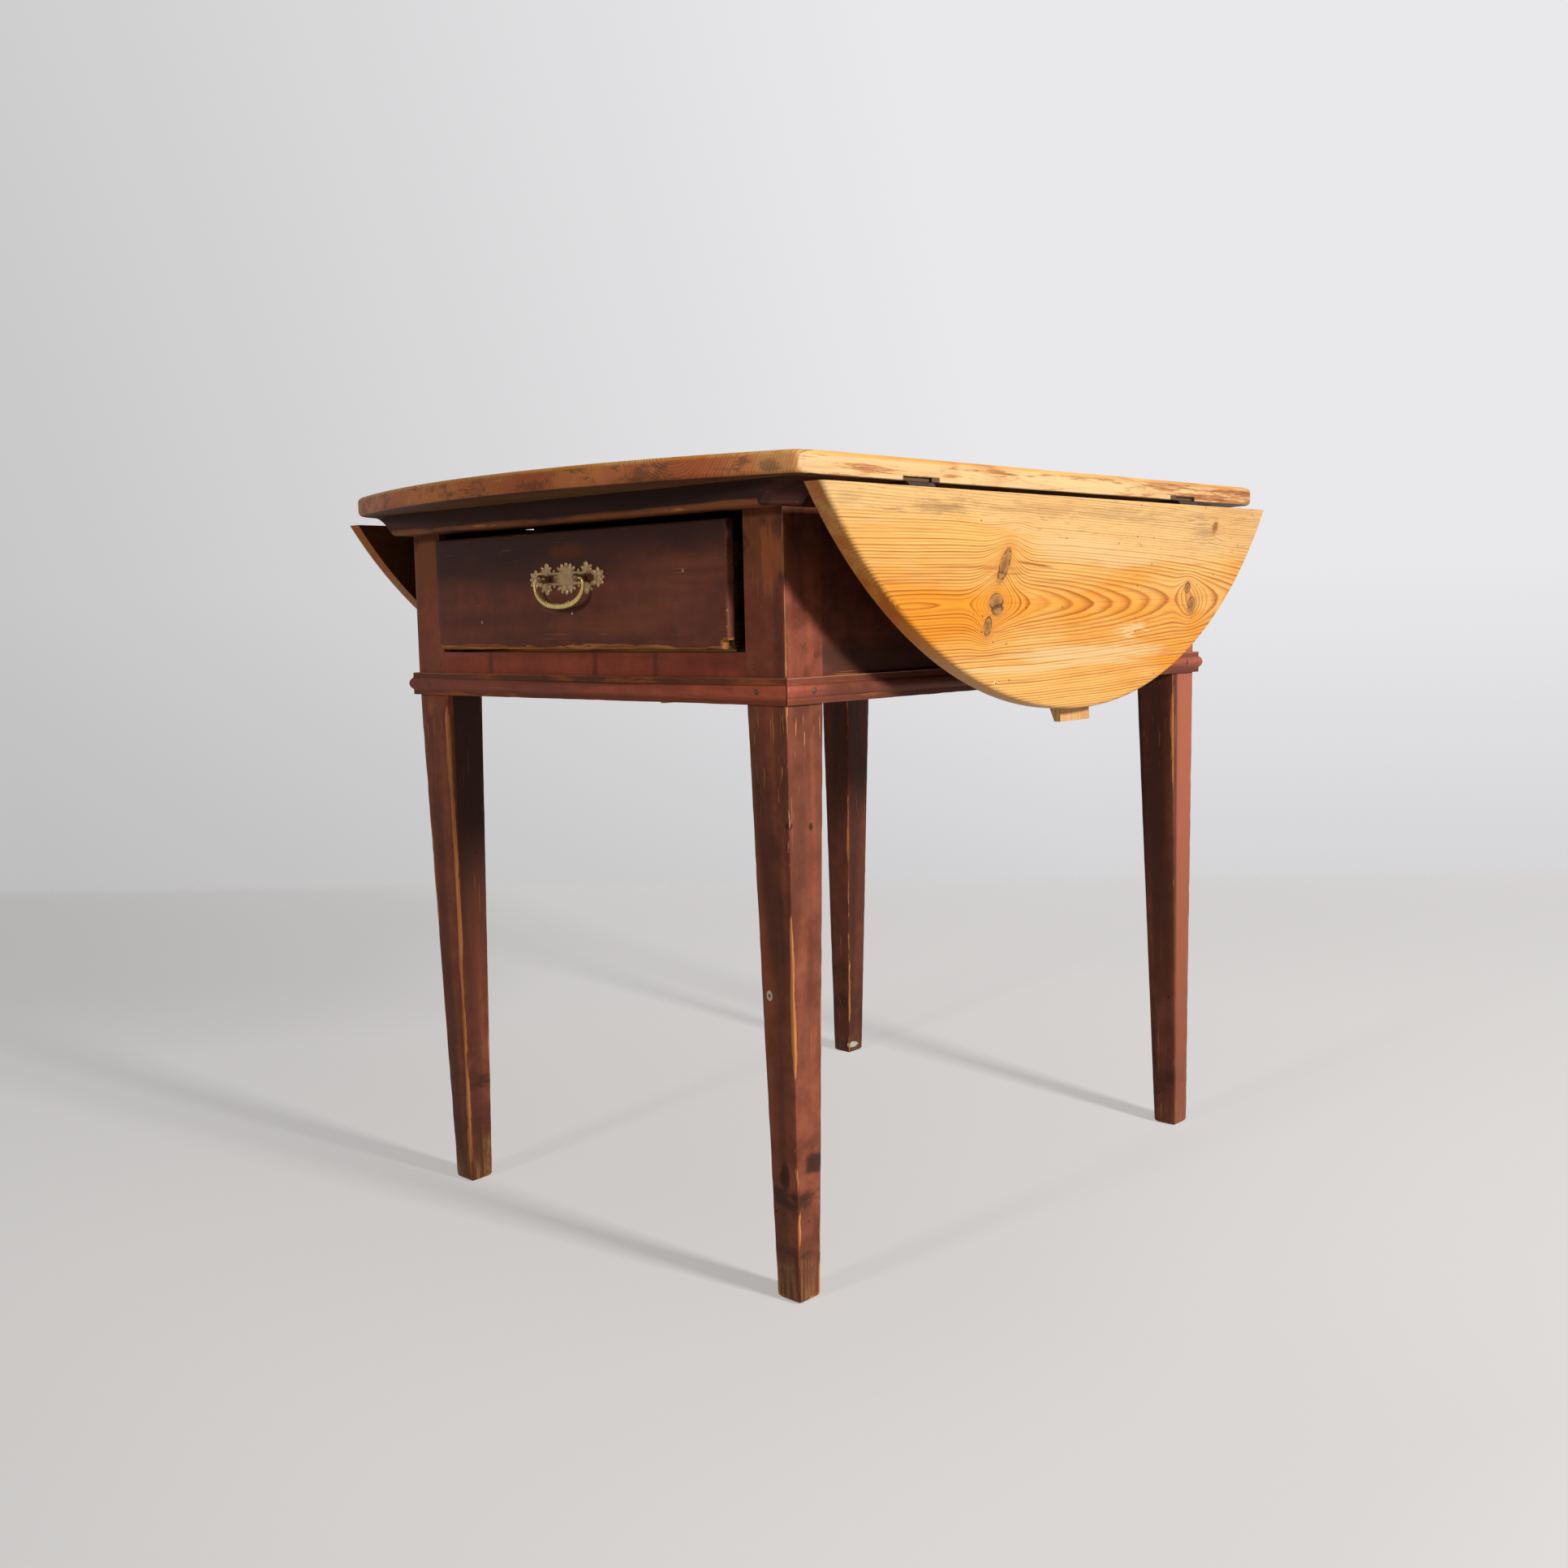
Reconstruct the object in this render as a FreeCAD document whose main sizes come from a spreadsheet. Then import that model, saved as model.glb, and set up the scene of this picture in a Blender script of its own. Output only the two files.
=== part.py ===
"""Painted pine drop-leaf table: tapered legs, one end drawer, two hinged leaves with stays.

Frame: +Z up, origin on the floor under the middle of the base.
The leaves hang at the +X and -X sides and the drawer opens towards -Y.
All sizes are millimetres.
"""
import FreeCAD
import Part
import os
import re

doc = FreeCAD.newDocument("pembroke_table")
sheet = doc.addObject("Spreadsheet::Sheet", "sizes")

# Driving sizes
SIZES = {
    "table_height": 760,
    "top_thickness": 20,
    "top_side_overhang": 54,
    "top_corner_overhang": 38,
    "top_end_bow": 66,
    "outer_board_width": 215,
    "frame_width": 548,
    "frame_depth": 712,
    "leg_width": 48,
    "foot_width": 28,
    "foot_shift_front_right": 2,
    "foot_shift_front_left": 5,
    "foot_shift_rear_right": 10,
    "foot_shift_rear_left": -7,
    "rail_height": 171,
    "rail_thickness": 24,
    "front_rail_height": 46,
    "tenon_thickness": 9,
    "tenon_length": 26,
    "tenon_shoulder": 8,
    "peg_radius": 3,
    "peg_length": 34,
    "peg_from_shoulder": 8,
    "side_peg_rise": 43,
    "end_peg_rise": 33,
    "batten_end_inset": 15,
    "batten_height": 22,
    "batten_depth": 54,
    "batten_overhang": 28,
    "batten_cove_radius": 50,
    "batten_edge_round": 5,
    "batten_peg_radius": 5,
    "batten_peg_in_post": 28,
    "batten_peg_in_top": 12,
    "moulding_height": 24,
    "moulding_bead_radius": 8,
    "moulding_fillet_depth": 4.7,
    "nail_radius": 1.2,
    "nail_head_radius": 2.8,
    "nail_head_height": 0.8,
    "nail_length": 22,
    "nail_from_corner": 28,
    "runner_width": 50,
    "runner_height": 22,
    "guide_height": 30,
    "kicker_width": 36,
    "kicker_clearance": 5,
    "kicker_slit_start": 217,
    "kicker_slit_width": 40,
    "drawer_side_clearance": 8,
    "drawer_length": 560,
    "drawer_front_height": 115,
    "drawer_front_thickness": 22,
    "drawer_front_lift": 3,
    "drawer_proud": 10,
    "drawer_offset": -3,
    "drawer_side_thickness": 12,
    "drawer_side_height": 104,
    "drawer_run_clearance": 0.3,
    "drawer_back_thickness": 14,
    "drawer_back_drop": 6,
    "drawer_bottom_thickness": 8,
    "groove_depth": 5,
    "groove_rise": 6,
    "tail_length": 14,
    "tail_root_width": 17,
    "tail_end_width": 23,
    "leaf_corner_inset": 8,
    "leaf_drop": 206,
    "right_leaf_shift": -8,
    "left_leaf_shift": 0,
    "leaf_gap": 2,
    "hinge_width": 38,
    "hinge_from_middle": 237,
    "hinge_plate_length": 44,
    "hinge_plate_thickness": 2,
    "hinge_notch_depth": 3,
    "hinge_notch_height": 4,
    "knuckle_radius": 5,
    "knuckle_gap": 0.3,
    "middle_knuckle_length": 13,
    "hinge_pin_radius": 2.5,
    "pin_clearance": 0.05,
    "screw_radius": 1.6,
    "screw_head_radius": 3.2,
    "screw_length": 14,
    "hinge_screw_spread": 20,
    "hinge_screw_reach": 28,
    "stay_width": 53,
    "stay_thickness": 16,
    "stay_tip_thickness": 7,
    "stay_length": 195,
    "stay_lean": 22,
    "right_stay_shift": 11,
    "left_stay_shift": 80,
    "stay_pivot_drop": 27,
    "stay_pivot_offset": 10.5,
    "stay_pin_radius": 3,
    "bracket_thickness": 2,
    "bracket_height": 24,
    "bracket_flange": 16,
    "ear_thickness": 3,
    "ear_gap": 0.5,
    "ear_radius": 6.5,
    "pull_rise": 69,
    "pull_offset": -1,
    "plate_length": 114,
    "plate_height": 33,
    "plate_thickness": 2,
    "plate_core_radius": 9,
    "plate_end_radius": 7,
    "plate_lobe_radius": 4,
    "plate_bar_height": 5,
    "plate_slot_height": 5.5,
    "bail_spacing": 70,
    "bail_drop": 27,
    "bail_rod_radius": 2.4,
    "bail_standoff": 11,
    "bail_pivot_radius": 1.6,
    "bail_pivot_length": 10,
    "bail_pivot_clearance": 0.1,
    "post_inset": 8,
    "post_neck_radius": 2.8,
    "post_head_radius": 4,
    "bolt_radius": 2.2,
    "nut_radius": 5.5,
    "nut_thickness": 4,
}
for row, (alias, value) in enumerate(SIZES.items(), start=1):
    sheet.set("A%d" % row, alias)
    sheet.set("B%d" % row, str(value))
    sheet.setAlias("B%d" % row, alias)
doc.recompute()

# Levels and lines that several pieces share, each written from the sizes above
LINES = {
    "half_width": "(frame_width / 2)",
    "half_depth": "(frame_depth / 2)",
    "half_top": "(half_width + top_side_overhang)",
    "top_side_length": "(frame_depth + 2 * top_corner_overhang)",
    "batten_length": "(2 * half_top - 2 * batten_end_inset)",
    "leaf_length": "(top_side_length - 2 * leaf_corner_inset)",
    "under_top": "(table_height - top_thickness)",
    "post_top": "(under_top - batten_height)",
    "rail_bottom": "(post_top - rail_height)",
    "front_rail_top": "(rail_bottom + front_rail_height)",
    "end_of_top": "(top_side_length / 2 + top_end_bow)",
    "top_end_radius": "((half_top ^ 2 + top_end_bow ^ 2) / (2 * top_end_bow))",
    "pin_level": "(under_top - knuckle_radius)",
    "leaf_face": "(half_top + knuckle_radius)",
    "leaf_top": "(pin_level - leaf_gap)",
    "leaf_radius": "(((leaf_length / 2) ^ 2 + leaf_drop ^ 2) / (2 * leaf_drop))",
    "stay_line": "(leaf_face - stay_pivot_offset)",
    "stay_level": "(pin_level - stay_pivot_drop)",
    "ear_inner": "(stay_width / 2 + ear_gap)",
    "ear_outer": "(ear_inner + ear_thickness)",
    "front_face": "(-half_depth - drawer_proud)",
    "front_back": "(front_face + drawer_front_thickness)",
    "drawer_end": "(front_face + drawer_length)",
    "side_bottom": "(front_rail_top + drawer_run_clearance)",
    "front_bottom": "(front_rail_top + drawer_front_lift)",
    "half_drawer": "(half_width - leg_width - drawer_side_clearance)",
    "pull_x": "(drawer_offset + pull_offset)",
    "pull_z": "(front_bottom + pull_rise)",
    "bail_line": "(front_face - bail_standoff)",
    "half_bail": "(bail_spacing / 2)",
    "bail_radius": "((half_bail ^ 2 + bail_drop ^ 2) / (2 * bail_drop))",
}


def tied(text):
    """Writes an expression over the sheet, with the shared lines filled in."""
    text = "(%s)" % text
    while True:
        filled = re.sub(r"[a-z_]+", lambda found: LINES.get(found.group(0), found.group(0)), text)
        if filled == text:
            break
        text = filled

    def cell(found):
        word = found.group(0)
        return "sizes." + word if word in SIZES else word

    return re.sub(r"[a-z_]+", cell, text)


def bind(item, **properties):
    for name, text in properties.items():
        item.setExpression(name, tied(text))
    return item


def seat(item, x, y, z):
    item.setExpression("Placement.Base.x", tied(x))
    item.setExpression("Placement.Base.y", tied(y))
    item.setExpression("Placement.Base.z", tied(z))
    return item


def turned(item, axis, angle):
    rotation = FreeCAD.Rotation(FreeCAD.Vector(*axis), angle)
    item.Placement = FreeCAD.Placement(FreeCAD.Vector(0, 0, 0), rotation)
    return item


def block(name, x, y, z):
    """A box between two expressions on each axis."""
    item = doc.addObject("Part::Box", name)
    bind(item, Length="(%s) - (%s)" % (x[1], x[0]), Width="(%s) - (%s)" % (y[1], y[0]))
    bind(item, Height="(%s) - (%s)" % (z[1], z[0]))
    return seat(item, x[0], y[0], z[0])


def flip(side, low, high):
    """The span from low to high at the +X or +Y side, or its mirror image."""
    if side > 0:
        return (low, high)
    return ("-(%s)" % high, "-(%s)" % low)


TURNS = {"x": ((0, 1, 0), 90), "y": ((1, 0, 0), -90), "z": ((0, 0, 1), 0)}
BACK_TURNS = {"x": ((0, 1, 0), -90), "y": ((1, 0, 0), 90), "z": ((1, 0, 0), 180)}


def rod(name, axis, start, radius, length, forward=1):
    """A cylinder from its start along an axis, or backwards along it."""
    item = doc.addObject("Part::Cylinder", name)
    turned(item, *(TURNS if forward > 0 else BACK_TURNS)[axis])
    bind(item, Radius=radius, Height=length)
    return seat(item, *start)


def cone(name, axis, start, radius_one, radius_two, length, forward=1):
    item = doc.addObject("Part::Cone", name)
    turned(item, *(TURNS if forward > 0 else BACK_TURNS)[axis])
    bind(item, Radius1=radius_one, Radius2=radius_two, Height=length)
    return seat(item, *start)


def ball(name, centre, radius):
    item = doc.addObject("Part::Sphere", name)
    bind(item, Radius=radius)
    return seat(item, *centre)


def wedge(name, low_x, low_z, y, high_x, high_z):
    """A prism whose section changes along its own Y axis."""
    item = doc.addObject("Part::Wedge", name)
    bind(item, Xmin=low_x[0], Xmax=low_x[1], Zmin=low_z[0], Zmax=low_z[1], Ymin=y[0], Ymax=y[1])
    bind(item, X2min=high_x[0], X2max=high_x[1], Z2min=high_z[0], Z2max=high_z[1])
    return item


def fuse(name, items):
    item = doc.addObject("Part::MultiFuse", name)
    item.Shapes = items
    return item


def common(name, items):
    item = doc.addObject("Part::MultiCommon", name)
    item.Shapes = items
    return item


def cut(name, base, tools):
    tool = tools[0]
    if len(tools) > 1:
        tool = fuse(name + "_cutters", tools)
    item = doc.addObject("Part::Cut", name)
    item.Base = base
    item.Tool = tool
    return item


NODES = []


def node(item, label):
    item.Label = label
    NODES.append(item)
    return item


SIDES = ((1, "right"), (-1, "left"))
ENDS = ((-1, "front"), (1, "rear"))


def signed(sign, text):
    return text if sign > 0 else "-(%s)" % text


# Pegs that hold the tenons
frame_peg_rods = []
for side, side_name in SIDES:
    for end, end_name in ENDS:
        where = "%s_%s" % (end_name, side_name)
        inward = signed(end, "half_depth - leg_width + peg_from_shoulder")
        start = (signed(side, "half_width"), inward, "rail_bottom + side_peg_rise")
        frame_peg_rods.append(rod("side_peg_" + where, "x", start, "peg_radius", "peg_length", -side))
        inward = signed(side, "half_width - leg_width + peg_from_shoulder")
        start = (inward, signed(end, "half_depth"), "rail_bottom + end_peg_rise")
        frame_peg_rods.append(rod("end_peg_" + where, "y", start, "peg_radius", "peg_length", -end))
frame_pegs = node(fuse("frame_peg_group", frame_peg_rods), "frame_pegs")

# Pegs up through each batten that tie post, batten and top together
batten_peg_rods = []
for side, side_name in SIDES:
    for end, end_name in ENDS:
        start = (signed(side, "half_width - leg_width / 2"), signed(end, "half_depth - leg_width / 2"),
                 "post_top - batten_peg_in_post")
        length = "batten_peg_in_post + batten_height + batten_peg_in_top"
        name = "batten_peg_%s_%s" % (end_name, side_name)
        batten_peg_rods.append(rod(name, "z", start, "batten_peg_radius", length))
batten_pegs = node(fuse("batten_peg_group", batten_peg_rods), "batten_pegs")

# Nails that hold the moulding near each corner
nail_pieces = []


def nail(name, axis, start, forward):
    shank = rod(name + "_shank", axis, start, "nail_radius", "nail_length", forward)
    head = rod(name + "_head", axis, start, "nail_head_radius", "nail_head_height", -forward)
    nail_pieces.append(fuse(name, [shank, head]))


for side, side_name in SIDES:
    for end, end_name in ENDS:
        where = "%s_%s" % (end_name, side_name)
        level = "rail_bottom + moulding_height / 2"
        nail("end_nail_" + where, "y", (signed(side, "half_width - nail_from_corner"),
             signed(end, "half_depth + moulding_bead_radius"), level), -end)
        nail("side_nail_" + where, "x", (signed(side, "half_width + moulding_bead_radius"),
             signed(end, "half_depth - nail_from_corner"), level), -side)
moulding_nails = node(fuse("moulding_nail_group", nail_pieces), "moulding_nails")

# Rails with a tenon at each end
RAIL_TOP = {"front": "front_rail_top", "rear": "post_top"}
TENON_NEAR = "rail_thickness / 2 + tenon_thickness / 2"
TENON_FAR = "rail_thickness / 2 - tenon_thickness / 2"
side_rails = {}
for side, side_name in SIDES:
    body = block("side_rail_board_" + side_name, flip(side, "half_width - rail_thickness", "half_width"),
                 ("leg_width - half_depth", "half_depth - leg_width"), ("rail_bottom", "post_top"))
    tenon = block("side_rail_tenon_" + side_name,
                  flip(side, "half_width - (%s)" % TENON_NEAR, "half_width - (%s)" % TENON_FAR),
                  ("leg_width - half_depth - tenon_length", "half_depth - leg_width + tenon_length"),
                  ("rail_bottom + tenon_shoulder", "post_top - tenon_shoulder"))
    whole = fuse("side_rail_whole_" + side_name, [body, tenon])
    side_rails[side] = node(cut("side_rail_pegged_" + side_name, whole, [frame_pegs, moulding_nails]),
                            "side_rail_" + side_name)
end_rails = {}
for end, end_name in ENDS:
    rail_top = RAIL_TOP[end_name]
    body = block("end_rail_board_" + end_name, ("leg_width - half_width", "half_width - leg_width"),
                 flip(end, "half_depth - rail_thickness", "half_depth"), ("rail_bottom", rail_top))
    tenon = block("end_rail_tenon_" + end_name,
                  ("leg_width - half_width - tenon_length", "half_width - leg_width + tenon_length"),
                  flip(end, "half_depth - (%s)" % TENON_NEAR, "half_depth - (%s)" % TENON_FAR),
                  ("rail_bottom + tenon_shoulder", rail_top + " - tenon_shoulder"))
    whole = fuse("end_rail_whole_" + end_name, [body, tenon])
    end_rails[end] = node(cut("end_rail_pegged_" + end_name, whole, [frame_pegs, moulding_nails]),
                          {"front": "front_rail", "rear": "rear_rail"}[end_name])

# Legs: a square post above the moulding's foot and a taper below it, each foot a little off the post's middle
legs = {}
for side, side_name in SIDES:
    for end, end_name in ENDS:
        where = "%s_%s" % (end_name, side_name)
        post = block("post_" + where, flip(side, "half_width - leg_width", "half_width"),
                     flip(end, "half_depth - leg_width", "half_depth"), ("rail_bottom", "post_top"))
        shift = "foot_shift_" + where
        foot_across = (shift + " - foot_width / 2", shift + " + foot_width / 2")
        foot_along = ("-foot_width / 2", "foot_width / 2")
        head = ("-leg_width / 2", "leg_width / 2")
        taper = wedge("taper_" + where, foot_across, foot_along, ("0", "rail_bottom"), head, head)
        turned(taper, (1, 0, 0), 90)
        seat(taper, signed(side, "half_width - leg_width / 2"),
             signed(end, "half_depth - leg_width / 2"), "0")
        whole = fuse("leg_whole_" + where, [post, taper])
        tools = [side_rails[side], end_rails[end], frame_pegs, batten_pegs, moulding_nails]
        legs[(side, end)] = node(cut("leg_mortised_" + where, whole, tools), "leg_" + where)

# Cross battens on the posts, with coved ends and a rounded lower front edge
for end, end_name in ENDS:
    outer = "half_depth + batten_overhang"
    board = block("batten_board_" + end_name, ("-batten_length / 2", "batten_length / 2"),
                  flip(end, outer + " - batten_depth", outer), ("post_top", "under_top"))
    coves = []
    for side, side_name in SIDES:
        start = (signed(side, "batten_length / 2"), signed(end, outer + " - batten_depth - 1"),
                 "under_top - batten_cove_radius")
        coves.append(rod("batten_cove_%s_%s" % (end_name, side_name), "y", start, "batten_cove_radius",
                         "batten_depth + 2", end))
    corner = block("batten_corner_" + end_name, ("-batten_length / 2 - 1", "batten_length / 2 + 1"),
                   flip(end, outer + " - batten_edge_round", outer + " + 1"),
                   ("post_top - 1", "post_top + batten_edge_round"))
    start = ("-batten_length / 2 - 2", signed(end, outer + " - batten_edge_round"),
             "post_top + batten_edge_round")
    round_rod = rod("batten_round_" + end_name, "x", start, "batten_edge_round", "batten_length + 4")
    edge = cut("batten_edge_" + end_name, corner, [round_rod])
    node(cut("batten_cut_" + end_name, board, coves + [edge, batten_pegs]), "batten_" + end_name)

# Moulding: a bead between two fillets, mitred at the corners
STRIPS = (("front", "frame_width", 0, "0", "-half_depth"), ("rear", "frame_width", 180, "0", "half_depth"),
          ("right", "frame_depth", 90, "half_width", "0"), ("left", "frame_depth", -90, "-half_width", "0"))
for strip_name, run, angle, x, y in STRIPS:
    half_run = "(%s / 2 + moulding_bead_radius)" % run
    span = ("-" + half_run, half_run)
    short_span = ("-%s / 2" % run, "%s / 2" % run)
    tall = ("0", "moulding_height")
    fillet = block("moulding_fillet_" + strip_name, span, ("-moulding_fillet_depth", "0"), tall)
    bead = rod("moulding_bead_" + strip_name, "x", ("-" + half_run, "0", "moulding_height / 2"),
               "moulding_bead_radius", "2 * " + half_run)
    mitre = wedge("moulding_mitre_" + strip_name, span, tall, ("-moulding_bead_radius", "0"),
                  short_span, tall)
    profile = fuse("moulding_profile_" + strip_name, [fillet, bead])
    strip = common("moulding_strip_" + strip_name, [profile, mitre])
    turned(strip, (0, 0, 1), angle)
    seat(strip, x, y, "rail_bottom")
    node(cut("moulding_nailed_" + strip_name, strip, [moulding_nails]), "moulding_" + strip_name)

# Drawer runners inside the side rails, with a guide on each
for side, side_name in SIDES:
    inner = "half_width - rail_thickness"
    span_y = ("rail_thickness - half_depth", "half_depth - rail_thickness")
    board = block("runner_board_" + side_name, flip(side, inner + " - runner_width", inner), span_y,
                  ("front_rail_top - runner_height", "front_rail_top"))
    node(cut("runner_notched_" + side_name, board, [legs[(side, -1)], legs[(side, 1)], frame_pegs]),
         "drawer_runner_" + side_name)
    guide = block("guide_board_" + side_name, flip(side, "half_width - leg_width", inner),
                  ("leg_width - half_depth", "half_depth - leg_width"),
                  ("front_rail_top", "front_rail_top + guide_height"))
    node(guide, "drawer_guide_" + side_name)

# Kickers under the top that keep the drawer level, the left one in two lengths
kicker_end = "half_depth + batten_overhang - batten_depth"
kicker_outer = "half_width - leg_width / 2 - batten_peg_radius - kicker_clearance"
kicker_spans = (("right", 1, "-(%s)" % kicker_end, kicker_end),
                ("left_front", -1, "-(%s)" % kicker_end, "-kicker_slit_start - kicker_slit_width"),
                ("left_rear", -1, "-kicker_slit_start", kicker_end))
kickers = []
for kicker_name, side, start, stop in kicker_spans:
    kickers.append(block("kicker_" + kicker_name, flip(side, kicker_outer + " - kicker_width", kicker_outer),
                         (start, stop), ("post_top", "under_top")))
node(fuse("kicker_group", kickers), "drawer_kickers")

# Hinges: plates under the top and on each leaf's inner face, three knuckles on a pin
top_screw_pieces = []
leaf_screw_pieces = {1: [], -1: []}


def screw(group, name, axis, start, forward):
    """A countersunk screw whose head lies flush with a plate."""
    depth = "screw_head_radius - screw_radius"
    head = cone(name + "_head", axis, start, "screw_head_radius", "screw_radius", depth, forward)
    shank = rod(name + "_shank", axis, start, "screw_radius", "screw_length", forward)
    group.append(fuse(name, [head, shank]))


HINGES = ((-1, "front"), (1, "rear"))
for side, side_name in SIDES:
    for place, place_name in HINGES:
        where = "%s_%s" % (side_name, place_name)
        middle = signed(place, "hinge_from_middle")
        for step in (-1, 1):
            along = "%s + %d * hinge_screw_spread / 2" % (middle, step)
            start = (signed(side, "half_top - hinge_screw_reach"), along,
                     "under_top - hinge_plate_thickness")
            screw(top_screw_pieces, "top_screw_%s_%d" % (where, step + 1), "z", start, 1)
            start = (signed(side, "leaf_face - hinge_plate_thickness"), along,
                     "pin_level - hinge_screw_reach")
            screw(leaf_screw_pieces[side], "leaf_screw_%s_%d" % (where, step + 1), "x", start, side)
hinge_screws_top = node(fuse("hinge_screw_group_top", top_screw_pieces), "hinge_screws_top")
hinge_screws_leaf = {}
for side, side_name in SIDES:
    hinge_screws_leaf[side] = node(fuse("hinge_screw_group_" + side_name, leaf_screw_pieces[side]),
                                   "hinge_screws_leaf_" + side_name)

hinge_notches = {1: [], -1: []}
for side, side_name in SIDES:
    for place, place_name in HINGES:
        where = "%s_%s" % (side_name, place_name)
        middle = signed(place, "hinge_from_middle")
        low = "%s - hinge_width / 2" % middle
        high = "%s + hinge_width / 2" % middle
        inner_low = "%s - middle_knuckle_length / 2" % middle
        line = signed(side, "half_top")

        def barrel(name, start, radius, length):
            return rod(name + "_" + where, "y", (line, start, "pin_level"), radius, length)

        outer_length = "hinge_width / 2 - middle_knuckle_length / 2 - knuckle_gap"
        inner_high = "%s + middle_knuckle_length / 2" % middle
        bore = barrel("hinge_bore", low + " - 1", "hinge_pin_radius + pin_clearance", "hinge_width + 2")
        plate = block("top_plate_" + where, flip(side, "half_top - hinge_plate_length", "half_top"),
                      (low, high), ("under_top - hinge_plate_thickness", "under_top"))
        room = barrel("top_plate_room", inner_low + " - knuckle_gap", "knuckle_radius + knuckle_gap",
                      "middle_knuckle_length + 2 * knuckle_gap")
        open_plate = cut("top_plate_open_" + where, plate, [room])
        first = barrel("top_knuckle_first", low, "knuckle_radius", outer_length)
        second = barrel("top_knuckle_second", inner_high + " + knuckle_gap", "knuckle_radius", outer_length)
        whole = fuse("top_plate_whole_" + where, [open_plate, first, second])
        node(cut("top_plate_bored_" + where, whole, [bore, hinge_screws_top]), "hinge_plate_top_" + where)
        plate = block("leaf_plate_" + where, flip(side, "leaf_face - hinge_plate_thickness", "leaf_face"),
                      (low, high), ("pin_level - hinge_plate_length", "pin_level"))
        first_room = barrel("leaf_plate_first_room", low + " - knuckle_gap", "knuckle_radius + knuckle_gap",
                            outer_length + " + 2 * knuckle_gap")
        second_room = barrel("leaf_plate_second_room", inner_high, "knuckle_radius + knuckle_gap",
                             outer_length + " + 2 * knuckle_gap")
        open_plate = cut("leaf_plate_open_" + where, plate, [first_room, second_room])
        knuckle = barrel("leaf_knuckle", inner_low, "knuckle_radius", "middle_knuckle_length")
        whole = fuse("leaf_plate_whole_" + where, [open_plate, knuckle])
        bored = cut("leaf_plate_bored_" + where, whole, [bore, hinge_screws_leaf[side]])
        node(bored, "hinge_plate_leaf_" + where)
        node(barrel("hinge_pin", low, "hinge_pin_radius", "hinge_width"), "hinge_pin_" + where)
        hinge_notches[side].append(block("hinge_notch_" + where,
                                         flip(side, "half_top - hinge_notch_depth", "half_top + 1"),
                                         (low + " - 1", high + " + 1"),
                                         ("under_top - 1", "under_top + hinge_notch_height")))

# Top: three glued boards with bowed ends
bows = []
for end, end_name in ENDS:
    start = ("0", signed(end, "end_of_top - top_end_radius"), "under_top - 1")
    bows.append(rod("top_bow_" + end_name, "z", start, "top_end_radius", "top_thickness + 2"))
BOARDS = {"right": ("half_top - outer_board_width", "half_top"),
          "middle": ("outer_board_width - half_top", "half_top - outer_board_width"),
          "left": ("-half_top", "outer_board_width - half_top")}
for board_name, span in BOARDS.items():
    board = block("top_plank_" + board_name, span, ("-end_of_top", "end_of_top"),
                  ("under_top", "table_height"))
    shaped = common("top_shaped_" + board_name, [board] + bows)
    tools = [batten_pegs, hinge_screws_top]
    if board_name == "right":
        tools = tools + hinge_notches[1]
    if board_name == "left":
        tools = tools + hinge_notches[-1]
    node(cut("top_fitted_" + board_name, shaped, tools), "top_board_" + board_name)

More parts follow.
